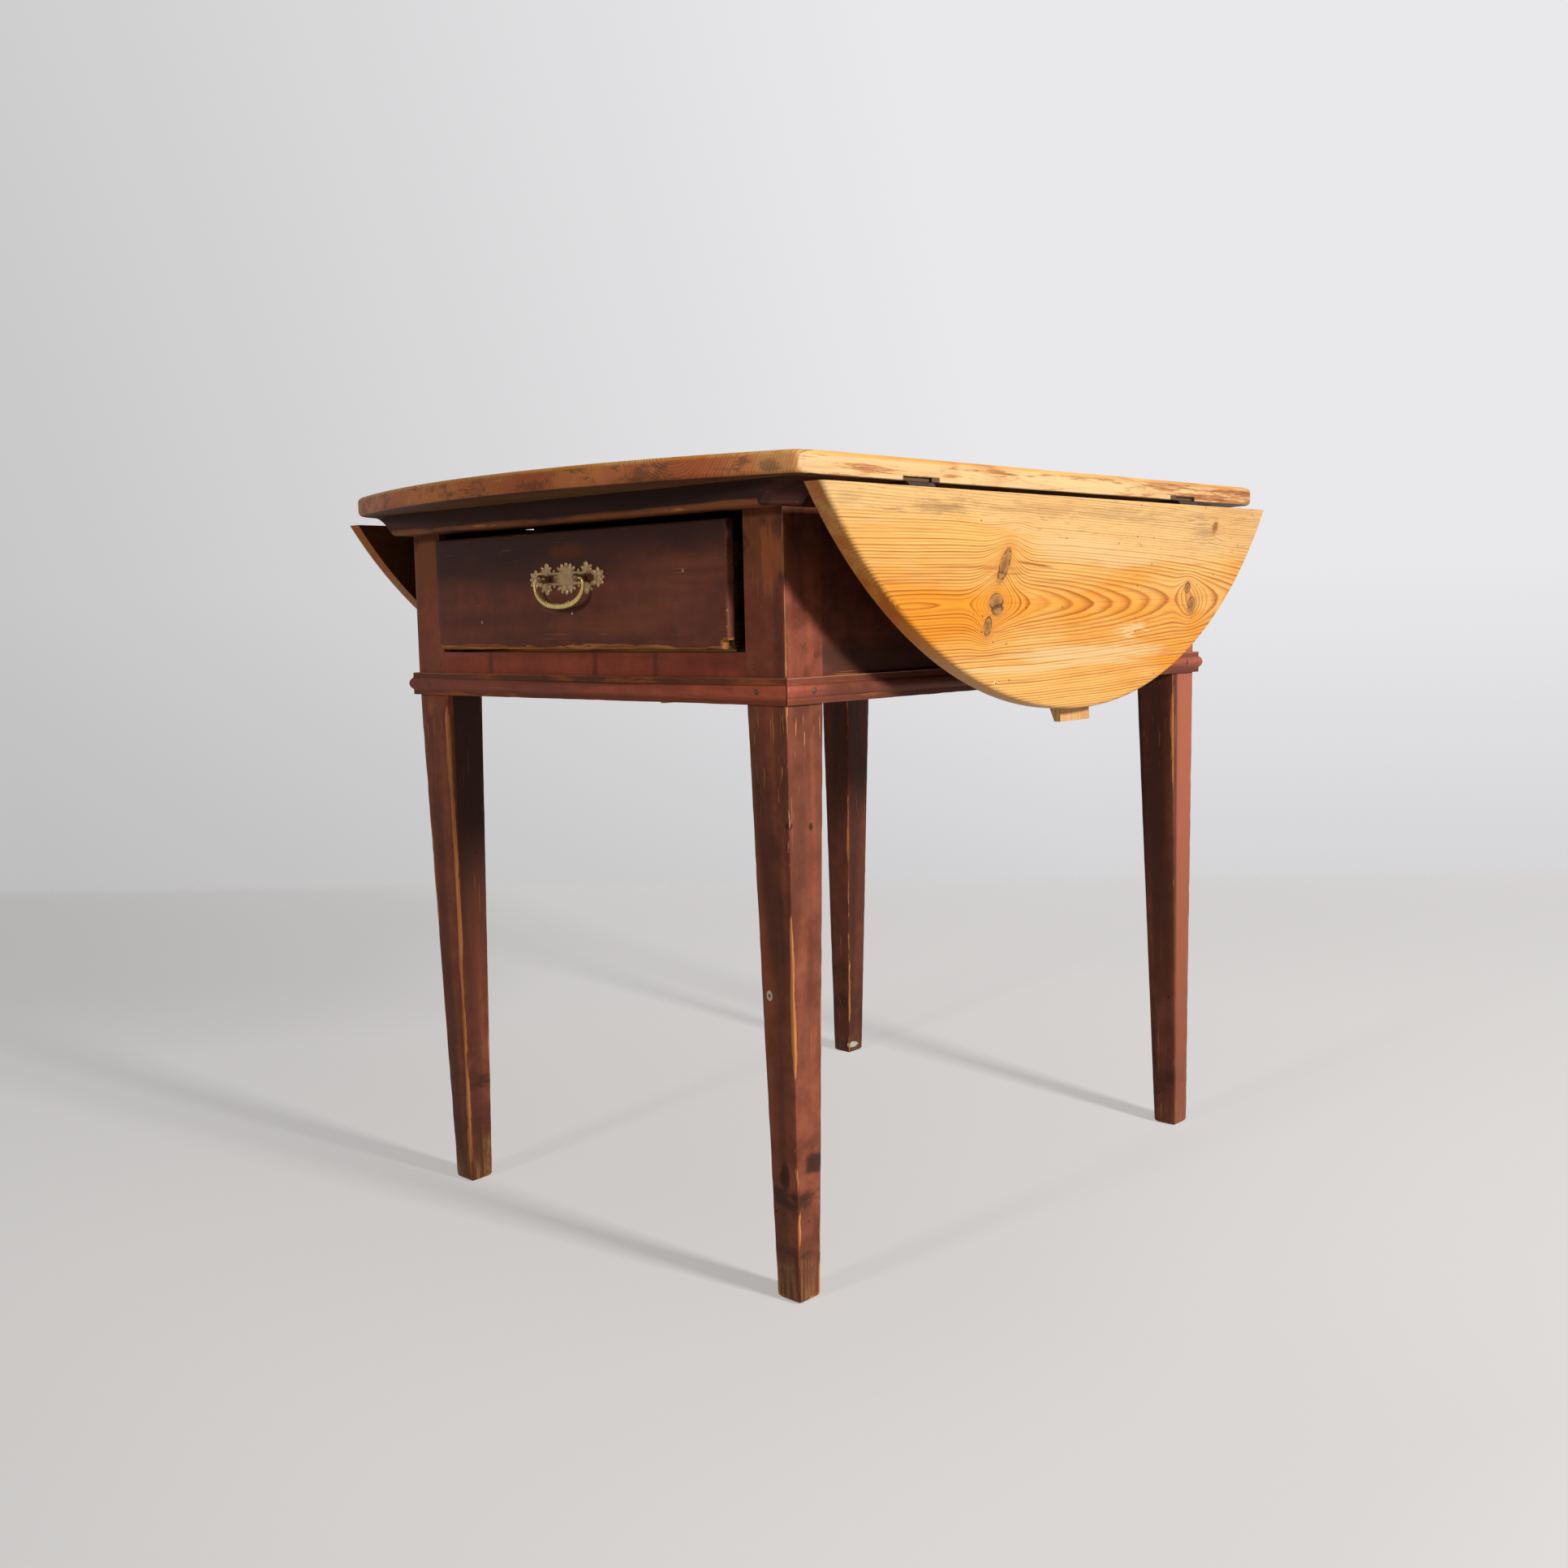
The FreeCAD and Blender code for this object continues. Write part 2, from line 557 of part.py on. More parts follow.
# Leaf stays in iron brackets: plumb at rest, with a chamfered tip
stay_screws = {}
for side, side_name in SIDES:
    shift = side_name + "_stay_shift"
    low = shift + " - stay_width / 2"
    high = shift + " + stay_width / 2"
    line = signed(side, "stay_line")
    chamfer = "stay_thickness - stay_tip_thickness"
    pieces = []
    for step, step_name in ((-1, "front"), (1, "rear")):
        along = "%s + %d * (ear_outer + bracket_flange / 2)" % (shift, step)
        screw(pieces, "stay_screw_%s_%s" % (side_name, step_name), "x",
              (signed(side, "leaf_face - bracket_thickness"), along, "stay_level"), side)
    stay_screws[side] = node(fuse("stay_screw_group_" + side_name, pieces), "stay_screws_" + side_name)
    stay_pin = rod("stay_pin_rod_" + side_name, "y", (line, shift + " - ear_outer - 1", "stay_level"),
                   "stay_pin_radius", "2 * ear_outer + 2")
    node(stay_pin, "stay_pin_" + side_name)
    plate = block("bracket_plate_" + side_name, flip(side, "leaf_face - bracket_thickness", "leaf_face"),
                  (shift + " - ear_outer - bracket_flange", shift + " + ear_outer + bracket_flange"),
                  ("stay_level - bracket_height / 2", "stay_level + bracket_height / 2"))
    pieces = [plate]
    for step, step_name in ((-1, "front"), (1, "rear")):
        spans = (shift + " + ear_inner", shift + " + ear_outer")
        if step < 0:
            spans = (shift + " - ear_outer", shift + " - ear_inner")
        where = "%s_%s" % (side_name, step_name)
        pieces.append(block("ear_" + where, flip(side, "stay_line", "leaf_face"), spans,
                            ("stay_level - ear_radius", "stay_level + ear_radius")))
        pieces.append(rod("ear_end_" + where, "y", (line, spans[0], "stay_level"), "ear_radius",
                          "ear_thickness"))
    whole = fuse("bracket_whole_" + side_name, pieces)
    bored = cut("bracket_bored_" + side_name, whole, [stay_pin, stay_screws[side]])
    node(bored, "stay_bracket_" + side_name)
    bar = block("stay_bar_" + side_name,
                flip(side, "stay_line - stay_thickness / 2", "stay_line + stay_thickness / 2"), (low, high),
                ("stay_level - stay_length", "stay_level"))
    end_round = rod("stay_round_" + side_name, "y", (line, low, "stay_level"), "stay_thickness / 2",
                    "stay_width")
    bore = rod("stay_bore_" + side_name, "y", (line, low + " - 1", "stay_level"),
               "stay_pin_radius + pin_clearance", "stay_width + 2")
    slope = "(%s) / tan(stay_lean * 1 deg)" % chamfer
    across = ("-stay_width / 2 - 1", "stay_width / 2 + 1")
    tip = wedge("stay_chamfer_" + side_name, flip(side, "0", chamfer), across, ("0", slope),
                ("0", "0"), across)
    turned(tip, (1, 0, 0), 90)
    seat(tip, signed(side, "stay_line - stay_thickness / 2"), shift, "stay_level - stay_length")
    whole = fuse("stay_whole_" + side_name, [bar, end_round])
    node(cut("stay_bored_" + side_name, whole, [bore, tip]), "leaf_stay_" + side_name)

# Leaves cut to an arc, hanging plumb from their pins
for side, side_name in SIDES:
    shift = side_name + "_leaf_shift"
    span = (shift + " - leaf_length / 2", shift + " + leaf_length / 2")
    board = block("leaf_board_" + side_name, flip(side, "leaf_face", "leaf_face + top_thickness"), span,
                  ("leaf_top - leaf_drop", "leaf_top"))
    start = (signed(side, "leaf_face - 1"), shift, "leaf_top - leaf_drop + leaf_radius")
    arc = rod("leaf_arc_" + side_name, "x", start, "leaf_radius", "top_thickness + 2", side)
    shaped = common("leaf_shaped_" + side_name, [board, arc])
    fitted = cut("leaf_fitted_" + side_name, shaped, [hinge_screws_leaf[side], stay_screws[side]])
    node(fitted, "leaf_" + side_name)

# Drawer: dovetailed sides, a back between them and a bottom in grooves
inner_half = "half_drawer - drawer_side_thickness"
panel_half = "(%s + groove_depth)" % inner_half
bottom = block("drawer_bottom_panel", ("drawer_offset - " + panel_half, "drawer_offset + " + panel_half),
               ("front_back - groove_depth", "drawer_end"),
               ("side_bottom + groove_rise", "side_bottom + groove_rise + drawer_bottom_thickness"))
node(bottom, "drawer_bottom")
back = block("drawer_back_board", ("drawer_offset - (%s)" % inner_half, "drawer_offset + %s" % inner_half),
             ("drawer_end - drawer_back_thickness", "drawer_end"),
             ("side_bottom + groove_rise + drawer_bottom_thickness",
              "side_bottom + drawer_side_height - drawer_back_drop"))
node(back, "drawer_back")
TAILS = 3
drawer_sides = []
for side, side_name in SIDES:
    near = "drawer_offset + %d * (%s)" % (side, inner_half)
    far = "drawer_offset + %d * half_drawer" % side
    board = block("drawer_side_board_" + side_name, (near, far) if side > 0 else (far, near),
                  ("front_back", "drawer_end"), ("side_bottom", "side_bottom + drawer_side_height"))
    pieces = [board]
    for count in range(TAILS):
        flat = ("-drawer_side_thickness / 2", "drawer_side_thickness / 2")
        root = ("-tail_root_width / 2", "tail_root_width / 2")
        tail_end = ("-tail_end_width / 2", "tail_end_width / 2")
        tail = wedge("tail_%s_%d" % (side_name, count), flat, root, ("0", "tail_length"), flat, tail_end)
        turned(tail, (0, 0, 1), 180)
        level = "side_bottom + drawer_side_height * %s / %d" % (count + 0.5, TAILS)
        line = "drawer_offset + %d * (half_drawer - drawer_side_thickness / 2)" % side
        seat(tail, line, "front_back", level)
        pieces.append(tail)
    whole = fuse("drawer_side_whole_" + side_name, pieces)
    grooved = cut("drawer_side_grooved_" + side_name, whole, [bottom])
    drawer_sides.append(node(grooved, "drawer_side_" + side_name))

# Pull: posts bolted through the front, a pierced backplate and a swan bail
posts = []
for side, side_name in SIDES:
    x = "pull_x + %d * (half_bail - post_inset)" % side
    neck = rod("post_neck_" + side_name, "y", (x, "bail_line", "pull_z"), "post_neck_radius",
               "bail_standoff - plate_thickness")
    bolt = rod("post_bolt_" + side_name, "y", (x, "bail_line", "pull_z"), "bolt_radius",
               "bail_standoff + drawer_front_thickness + nut_thickness")
    head = ball("post_head_" + side_name, (x, "bail_line", "pull_z"), "post_head_radius")
    whole = fuse("post_whole_" + side_name, [neck, bolt, head])
    start = (x + " - post_head_radius - 1", "bail_line", "pull_z")
    bore = rod("post_bore_" + side_name, "x", start, "bail_pivot_radius + bail_pivot_clearance",
               "2 * post_head_radius + 2")
    posts.append(node(cut("post_bored_" + side_name, whole, [bore]), "pull_post_" + side_name))
nut_pieces = []
for side, side_name in SIDES:
    nut = doc.addObject("Part::Prism", "nut_prism_" + side_name)
    nut.Polygon = 6
    turned(nut, *TURNS["y"])
    bind(nut, Circumradius="nut_radius", Height="nut_thickness")
    seat(nut, "pull_x + %d * (half_bail - post_inset)" % side, "front_back", "pull_z")
    nut_pieces.append(nut)
nuts = fuse("nut_pair", nut_pieces)
node(cut("nut_bored", nuts, posts), "pull_nuts")


def lobe(name, x, z, radius):
    start = ("pull_x + " + x, "front_face - plate_thickness", "pull_z + " + z)
    return rod("plate_lobe_" + name, "y", start, radius, "plate_thickness")


lobes = []
for step in (-1, 0, 1):
    lobes.append(lobe("core_%d" % (step + 1), "%d * plate_core_radius" % step, "0", "plate_core_radius"))
    for rise in (-1, 1):
        reach = "%d * (plate_height / 2 - plate_lobe_radius * %s)" % (rise, "1" if step == 0 else "1.6")
        name = "crest_%d_%d" % (step + 1, rise + 1)
        lobes.append(lobe(name, "%d * 2.6 * plate_lobe_radius" % step, reach, "plate_lobe_radius"))
for side, side_name in SIDES:
    lobes.append(lobe("end_" + side_name, "%d * (plate_length / 2 - plate_end_radius)" % side, "0",
                      "plate_end_radius"))
    lobes.append(lobe("seat_" + side_name, "%d * (half_bail - post_inset)" % side, "0",
                      "post_neck_radius + plate_slot_height / 2"))
    for rise in (-1, 1):
        where = "%s_%d" % (side_name, rise + 1)
        x = "%d * (half_bail - 2)" % side
        z = "%d * (plate_height / 2 - 1.3 * plate_lobe_radius)" % rise
        lobes.append(lobe("wing_" + where, x, z, "1.3 * plate_lobe_radius"))
        x = "%d * (half_bail + 1.4 * plate_lobe_radius)" % side
        z = "%d * (plate_height / 2 - 1.8 * plate_lobe_radius)" % rise
        lobes.append(lobe("bud_" + where, x, z, "0.8 * plate_lobe_radius"))
for rise in (-1, 1):
    middle = "pull_z + %d * (plate_slot_height + plate_bar_height) / 2" % rise
    reach = "(plate_length / 2 - plate_end_radius)"
    lobes.append(block("plate_bar_%d" % (rise + 1), ("pull_x - " + reach, "pull_x + " + reach),
                       ("front_face - plate_thickness", "front_face"),
                       (middle + " - plate_bar_height / 2", middle + " + plate_bar_height / 2")))
plate = fuse("plate_outline", lobes)
node(cut("plate_pierced", plate, posts), "pull_backplate")

ring = doc.addObject("Part::Torus", "bail_ring")
turned(ring, (1, 0, 0), 90)
bind(ring, Radius1="bail_radius", Radius2="bail_rod_radius")
seat(ring, "pull_x", "bail_line", "pull_z + bail_radius - bail_drop")
below = block("bail_below", ("pull_x - bail_spacing", "pull_x + bail_spacing"),
              ("bail_line - bail_standoff", "bail_line + bail_standoff"),
              ("pull_z - bail_spacing", "pull_z"))
pieces = [common("bail_bow", [ring, below])]
for side, side_name in SIDES:
    eye = ("pull_x + %d * half_bail" % side, "bail_line", "pull_z")
    pieces.append(ball("bail_eye_" + side_name, eye, "bail_rod_radius * 1.2"))
    pieces.append(rod("bail_pivot_" + side_name, "x", eye, "bail_pivot_radius", "bail_pivot_length", -side))
node(fuse("bail_whole", pieces), "pull_bail")

front = block("drawer_front_board", ("drawer_offset - half_drawer", "drawer_offset + half_drawer"),
              ("front_face", "front_back"), ("front_bottom", "front_bottom + drawer_front_height"))
node(cut("drawer_front_fitted", front, drawer_sides + [bottom] + posts), "drawer_front")

# Every piece is checked before anything is written
doc.recompute()
for item in doc.Objects:
    if "Invalid" in item.State or "Error" in item.State:
        raise RuntimeError("%s did not build: %s" % (item.Name, item.State))
os.makedirs("parts", exist_ok=True)
for item in NODES:
    shape = item.Shape
    if shape.isNull() or not shape.isValid() or not shape.Solids:
        raise RuntimeError("%s is not a sound solid" % item.Label)
for item in NODES:
    item.Shape.exportStep("parts/%s.step" % item.Label)
    print("%-28s solids %2d volume %12.1f" % (item.Label, len(item.Shape.Solids), item.Shape.Volume))
print("pieces", len(NODES))
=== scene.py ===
"""Old pine drop-leaf table: oxide-red painted base, scrubbed top and leaves, brass drawer pull."""
import math
from itertools import product

import bmesh
import bpy
from mathutils import Matrix, Vector, geometry, noise


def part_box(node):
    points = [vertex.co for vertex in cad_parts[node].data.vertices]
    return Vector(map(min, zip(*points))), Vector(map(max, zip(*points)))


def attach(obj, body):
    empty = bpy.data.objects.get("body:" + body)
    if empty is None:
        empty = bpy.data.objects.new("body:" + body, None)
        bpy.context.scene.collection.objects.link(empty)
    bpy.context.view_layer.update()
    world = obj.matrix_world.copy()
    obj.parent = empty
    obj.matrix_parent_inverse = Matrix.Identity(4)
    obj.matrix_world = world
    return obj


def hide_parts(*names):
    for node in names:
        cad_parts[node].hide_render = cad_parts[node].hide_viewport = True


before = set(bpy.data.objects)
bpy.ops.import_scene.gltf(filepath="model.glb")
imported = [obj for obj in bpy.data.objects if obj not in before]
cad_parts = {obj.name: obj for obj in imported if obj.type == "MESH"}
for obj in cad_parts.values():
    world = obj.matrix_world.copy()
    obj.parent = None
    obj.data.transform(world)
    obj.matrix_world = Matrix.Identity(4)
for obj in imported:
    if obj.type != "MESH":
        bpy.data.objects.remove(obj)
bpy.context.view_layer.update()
scene = bpy.context.scene
MM = 0.001
NO_TURN = (0.0, 0.0, 0.0)
SEEN_BY = ("Is Camera Ray", "Is Glossy Ray", "Is Transmission Ray")


# Material tools
class Value:
    """A number or colour that changes over a surface; sums of values make new ones."""

    def __init__(self, nodes, socket):
        self.nodes = nodes
        self.socket = socket

    def __add__(self, other):
        return self.nodes.calc("ADD", self, other)

    def __sub__(self, other):
        return self.nodes.calc("SUBTRACT", self, other)

    def __mul__(self, other):
        return self.nodes.calc("MULTIPLY", self, other)

    def __abs__(self):
        return self.nodes.calc("ABSOLUTE", self)

    def band(self, low, high, low_result=0.0, high_result=1.0, slope="SMOOTHSTEP"):
        """A step from low to high, which may run downwards."""
        inputs = {0: self, 1: low, 2: high, 3: low_result, 4: high_result}
        return self.nodes.put("MapRange", inputs, interpolation_type=slope)

    def spread(self, width):
        """A cloud about nothing, spread either way."""
        return (self - 0.5) * width

    def between(self, first, second):
        """The first colour where this is nought and the second where it is one."""
        return self.nodes.mix(self, first, second)

    def laid(self, over, share, blend_type="MIX"):
        """This colour with a share of another laid over it."""
        return self.nodes.mix(share, self, over, blend_type)


def light(colour):
    """A colour as it is seen, red, green and blue from 0 to 255, as light values; others as they are."""
    if isinstance(colour, Value) or len(colour) == 4:
        return colour
    shares = [level / 255 for level in colour]
    linear = [share / 12.92 if share <= 0.04045 else ((share + 0.055) / 1.055) ** 2.4 for share in shares]
    return (*linear, 1.0)


class Nodes:
    """A tree of nodes, with short words for what is put into it."""

    def __init__(self, tree):
        self.tree = tree

    def feed(self, item, inputs):
        for key, value in inputs.items():
            if isinstance(value, Value):
                self.tree.links.new(value.socket, item.inputs[key])
            else:
                item.inputs[key].default_value = value

    def node(self, kind, inputs, **settings):
        item = self.tree.nodes.new("ShaderNode" + kind)
        for word, value in settings.items():
            setattr(item, word, value)
        self.feed(item, inputs)
        return item

    def put(self, kind, inputs, output=0, **settings):
        """Puts a node in and gives one of its outputs."""
        return Value(self, self.node(kind, inputs, **settings).outputs[output])

    def calc(self, operation, *values):
        return self.put("Math", dict(enumerate(values)), operation=operation)

    def arrow(self, operation, *values):
        """A sum with places or directions."""
        output = "Value" if operation in ("LENGTH", "DOT_PRODUCT") else "Vector"
        return self.put("VectorMath", dict(enumerate(values)), output, operation=operation)

    def mix(self, share, first, second, blend_type="MIX"):
        inputs = {0: share, 6: light(first), 7: light(second)}
        return self.put("Mix", inputs, 2, data_type="RGBA", blend_type=blend_type)

    def sight(self):
        """One for the rays that see a thing, nought for those that only light others by it."""
        ray = self.node("LightPath", {})
        first, second, third = (Value(self, ray.outputs[kind]) for kind in SEEN_BY)
        return self.calc("MINIMUM", first + second + third, 1.0)


finishes = {}


class Finish(Nodes):
    """One material, laid out over the object's own coordinates; along is the way that its grain runs."""

    def __init__(self, key, name, along=None):
        self.material = bpy.data.materials.new(name)
        finishes[key] = self.material
        self.material.use_nodes = True
        super().__init__(self.material.node_tree)
        self.shader = self.tree.nodes["Principled BSDF"]
        self.along = along
        self.colour = None
        self.place = self.put("TexCoord", {}, "Object")
        split = self.node("SeparateXYZ", {0: self.place})
        self.axes = {letter: Value(self, output) for letter, output in zip("xyz", split.outputs)}
        self.x, self.y, self.z = self.axes.values()

    def cloud(self, scale, detail=3.0, roughness=0.55, bend=0.0, turn=NO_TURN):
        """Soft noise; three scales draw it out along an axis."""
        vector = self.place
        if isinstance(scale, tuple):
            vector = self.put("Mapping", {0: vector, 2: turn, 3: scale})
            scale = 1.0
        inputs = {"Vector": vector, "Scale": scale, "Detail": detail, "Roughness": roughness,
                  "Distortion": bend}
        return self.put("TexNoise", inputs)

    def grain(self, length, width, *noise_settings, **turned):
        """A cloud drawn out along the grain."""
        scale = tuple(length if letter == self.along else width for letter in "xyz")
        return self.cloud(scale, *noise_settings, **turned)

    def lay(self, over, share, blend_type="MIX"):
        """Lays a share of a colour over those that are there."""
        self.colour = self.colour.laid(over, share, blend_type)

    def ramp(self, value, stops):
        item = self.node("ValToRGB", {0: value})
        steps = item.color_ramp.elements
        while len(steps) < len(stops):
            steps.new(0.5)
        for element, (position, level) in zip(steps, stops):
            element.position = position
            element.color = (level, level, level, 1.0)
        return Value(self, item.outputs[0])

    def hypotenuse(self, first, second):
        return self.calc("SQRT", first * first + second * second)

    def pits(self, scale, size, rarity):
        """Small round holes scattered here and there."""
        cells = self.node("TexVoronoi", {"Vector": self.place, "Scale": scale})
        luck = self.put("SeparateColor", {0: Value(self, cells.outputs["Color"])})
        near = Value(self, cells.outputs["Distance"]).band(size * 1.25, size * 0.75)
        return near * luck.band(rarity, rarity + 0.005)

    def away(self, centre, size, cloud=None, spread=0.0):
        """How far a point is from a place, counted in sizes; a cloud makes it ragged."""
        off = self.arrow("DIVIDE", self.arrow("SUBTRACT", self.place, centre), size)
        far = self.arrow("LENGTH", off)
        return far + cloud.spread(spread) if cloud else far

    def surface(self, roughness, height=None, depth=0.4 * MM):
        self.feed(self.shader, {"Base Color": self.colour, "Roughness": roughness})
        if height is not None:
            bump = self.put("Bump", {"Strength": 0.5, "Distance": depth, "Height": height})
            self.feed(self.shader, {"Normal": bump})


def stroke(run, side, centre, slope, half_length, half_width):
    """A thin straight mark, pointed at its ends."""
    along = run - centre[0]
    off = side - centre[1] - along * slope
    taper = abs(along).band(half_length, half_length * 0.3)
    return abs(off).band(half_width * 1.4, half_width * 0.5) * taper


# Bare old pine, with growth rings about a heart line and knots that they flow around
EARLY_WOOD = (252, 196, 112)
DEEP_WOOD = (248, 160, 46)
LATE_WOOD = (190, 100, 30)
PALE_WOOD = (242, 202, 142)
GREY_WOOD = (164, 128, 84)
RED_BROWN = (158, 84, 40)
KNOT_BROWN = (150, 100, 54)
KNOT_DARK = (76, 46, 26)


def pine(key, name, letters, heart, lean, ring_width, knots=(), tone=1.0, marks=None, calm=None):
    """letters are the axes along, across and through the board, and heart is where the rings centre.

    A knot is (along, across, half length, half height, slant). calm is the span through the board over
    which the ring lines come up.
    """
    wood = Finish(key, name, letters[0])
    spacing = ring_width * MM
    wood.feed(wood.shader, {"Specular IOR Level": 0.2})
    run, side, depth = (wood.axes[letter] for letter in letters)
    wander = wood.grain(2.0, 7.0, 2.0).spread(0.022)
    offset = side - heart[1] + wander
    sink = depth - heart[2] + (run - heart[0]) * lean
    rings = wood.hypotenuse(offset, sink) * (1 / spacing)
    rings = wood.calc("POWER", rings, 1.08)
    rings = rings + wood.grain(5.0, 50.0, 3.0).spread(0.9)
    rough_edge = wood.grain(40.0, 160.0, 2.0)
    cores = []
    for run_place, side_place, half_length, half_height, slant in knots:
        side_off = side - side_place
        run_off = (run - run_place - side_off * slant) * (1 / half_length)
        side_off = side_off * (1 / half_height)
        swell = wood.hypotenuse(run_off * 0.38, side_off * 0.55)
        swell = wood.calc("EXPONENT", swell * swell * -0.8)
        rings = rings - swell * (1.35 * half_height / spacing)
        cores.append(wood.hypotenuse(run_off, side_off) + rough_edge.spread(0.9))
    year = wood.calc("FRACT", rings)
    ring = wood.calc("FLOOR", rings)
    luck = wood.put("TexWhiteNoise", {"W": ring}, "Value", noise_dimensions="1D")
    late = wood.ramp(year, ((0.0, 0.4), (0.07, 0.0), (0.4, 0.06), (0.7, 0.5), (0.88, 1.0), (1.0, 0.4)))
    late = late * luck.band(0.0, 1.0, 0.35, 1.0)
    if calm:
        late = late * abs(depth).band(*calm, 0.3, 1.0)
    fibre = wood.grain(14.0, 900.0, 2.0, 0.6)
    patch = wood.grain(3.0, 9.0, 4.0, 0.6)
    by_heart = abs(offset).band(0.05, 0.0, -0.06, 0.09)
    wood.colour = (patch + by_heart).band(0.38, 0.66).between(EARLY_WOOD, DEEP_WOOD)
    wood.lay(LATE_WOOD, late * 0.8)
    wood.lay((176, 104, 42), fibre.band(0.45, 0.8) * 0.25)
    streak = wood.grain(4.0, 140.0, 3.0, 0.6)
    wood.lay((176, 96, 36), streak.band(0.58, 0.72) * 0.5)
    if marks:
        marks(wood, run, side, depth)
    wood.lay((0.66, 0.46, 0.28, 1.0), late * 0.75, "MULTIPLY")
    wood.lay((0.82, 0.7, 0.55, 1.0), fibre.band(0.5, 0.75) * 0.4, "MULTIPLY")
    for core in cores:
        wood.lay((214, 136, 58), core.band(2.3, 0.9) * 0.45)
        centre = core.band(0.2, 0.8).between(KNOT_BROWN, (186, 132, 74))
        centre = centre.laid(KNOT_DARK, rough_edge.band(0.54, 0.7) * 0.75)
        wood.lay(centre, core.band(1.1, 0.8))
        rim = core.band(0.7, 0.92) * core.band(1.15, 0.96)
        wood.lay(KNOT_DARK, rim * rough_edge.band(0.38, 0.55) * 0.85)
    if tone != 1.0:
        wood.lay((tone, tone * 0.97, tone * 0.93, 1.0), 1.0, "MULTIPLY")
    pit = wood.pits(85.0, 0.08, 0.968)
    wood.lay((70, 42, 24), pit * 0.85)
    wood.surface(patch.band(0.2, 0.8, 0.42, 0.6), late * 0.5 + fibre * 0.35 + pit * -1.5)


INNER_STAIN = (58, 32, 20)
LEAF_OUT = 0.353


def dark_inside(wood, run, side, depth):
    """A leaf's stained inner face and its browner rim."""
    out = abs(depth)
    worn = wood.cloud(30.0, 4.0, 0.65)
    brown = side.band(0.64, 0.55).between((200, 102, 40), (240, 172, 112))
    wood.lay(brown, out.band(0.35, 0.348) * worn.band(0.35, 0.6, 0.4, 0.8))
    wood.lay(INNER_STAIN, out.band(0.334, 0.3334) * 0.88)


def scrubbed_marks(wood, run, side, depth):
    """The near leaf's bleached hinge edge, scraped streaks, grey smudges and old crack."""
    ragged = wood.cloud((14.0, 8.0, 260.0), 7.0, 0.72)
    fine = wood.cloud((60.0, 45.0, 620.0), 3.0, 0.6)
    border = run.band(-0.24, 0.04, 0.704, 0.672)
    above = side - border + ragged.spread(0.11)
    bleached = above.band(-0.004, 0.012)
    wood.lay(PALE_WOOD, bleached * 0.62)
    wood.lay((186, 140, 86), bleached * fine.band(0.55, 0.68) * 0.5)
    for y, z, half_length, half_height, share in (
            (-0.015, 0.684, 0.09, 0.013, 0.7), (0.065, 0.674, 0.08, 0.009, 0.7),
            (0.02, 0.581, 0.15, 0.009, 0.9), (-0.13, 0.57, 0.1, 0.005, 0.8),
            (0.03, 0.572, 0.07, 0.006, 0.7)):
        worn = wood.away((LEAF_OUT, y, z), (1.0, half_length, half_height), ragged, 3.4)
        wood.lay(PALE_WOOD, worn.band(1.1, 0.5) * share)
    scuff = wood.away((LEAF_OUT, 0.085, 0.603), (1.0, 0.045, 0.012), fine, 3.0)
    wood.lay((250, 222, 172), scuff.band(0.55, 0.25) * 0.6)
    grime = wood.cloud((16.0, 18.0, 240.0), 7.0, 0.78)
    for y, z, half_length, half_height, share in (
            (-0.235, 0.716, 0.07, 0.009, 0.55), (0.0, 0.719, 0.3, 0.01, 0.35),
            (0.235, 0.705, 0.05, 0.015, 0.5), (-0.36, 0.722, 0.025, 0.014, 0.2)):
        smudge = wood.away((LEAF_OUT, y, z), (1.0, half_length, half_height), grime, 5.0)
        wood.lay(GREY_WOOD, smudge.band(0.9, 0.2) * share)
    wood.lay(RED_BROWN, stroke(run, side, (-0.092, 0.6675), -0.0864, 0.041, 1.3 * MM) * 0.8)
    speck = wood.away((LEAF_OUT, -0.158, 0.559), (1.0, 2.6 * MM, 2.0 * MM)).band(1.1, 0.8)
    wood.lay((250, 216, 144), speck)
    dark_inside(wood, run, side, depth)


HINGE_Y = 0.232


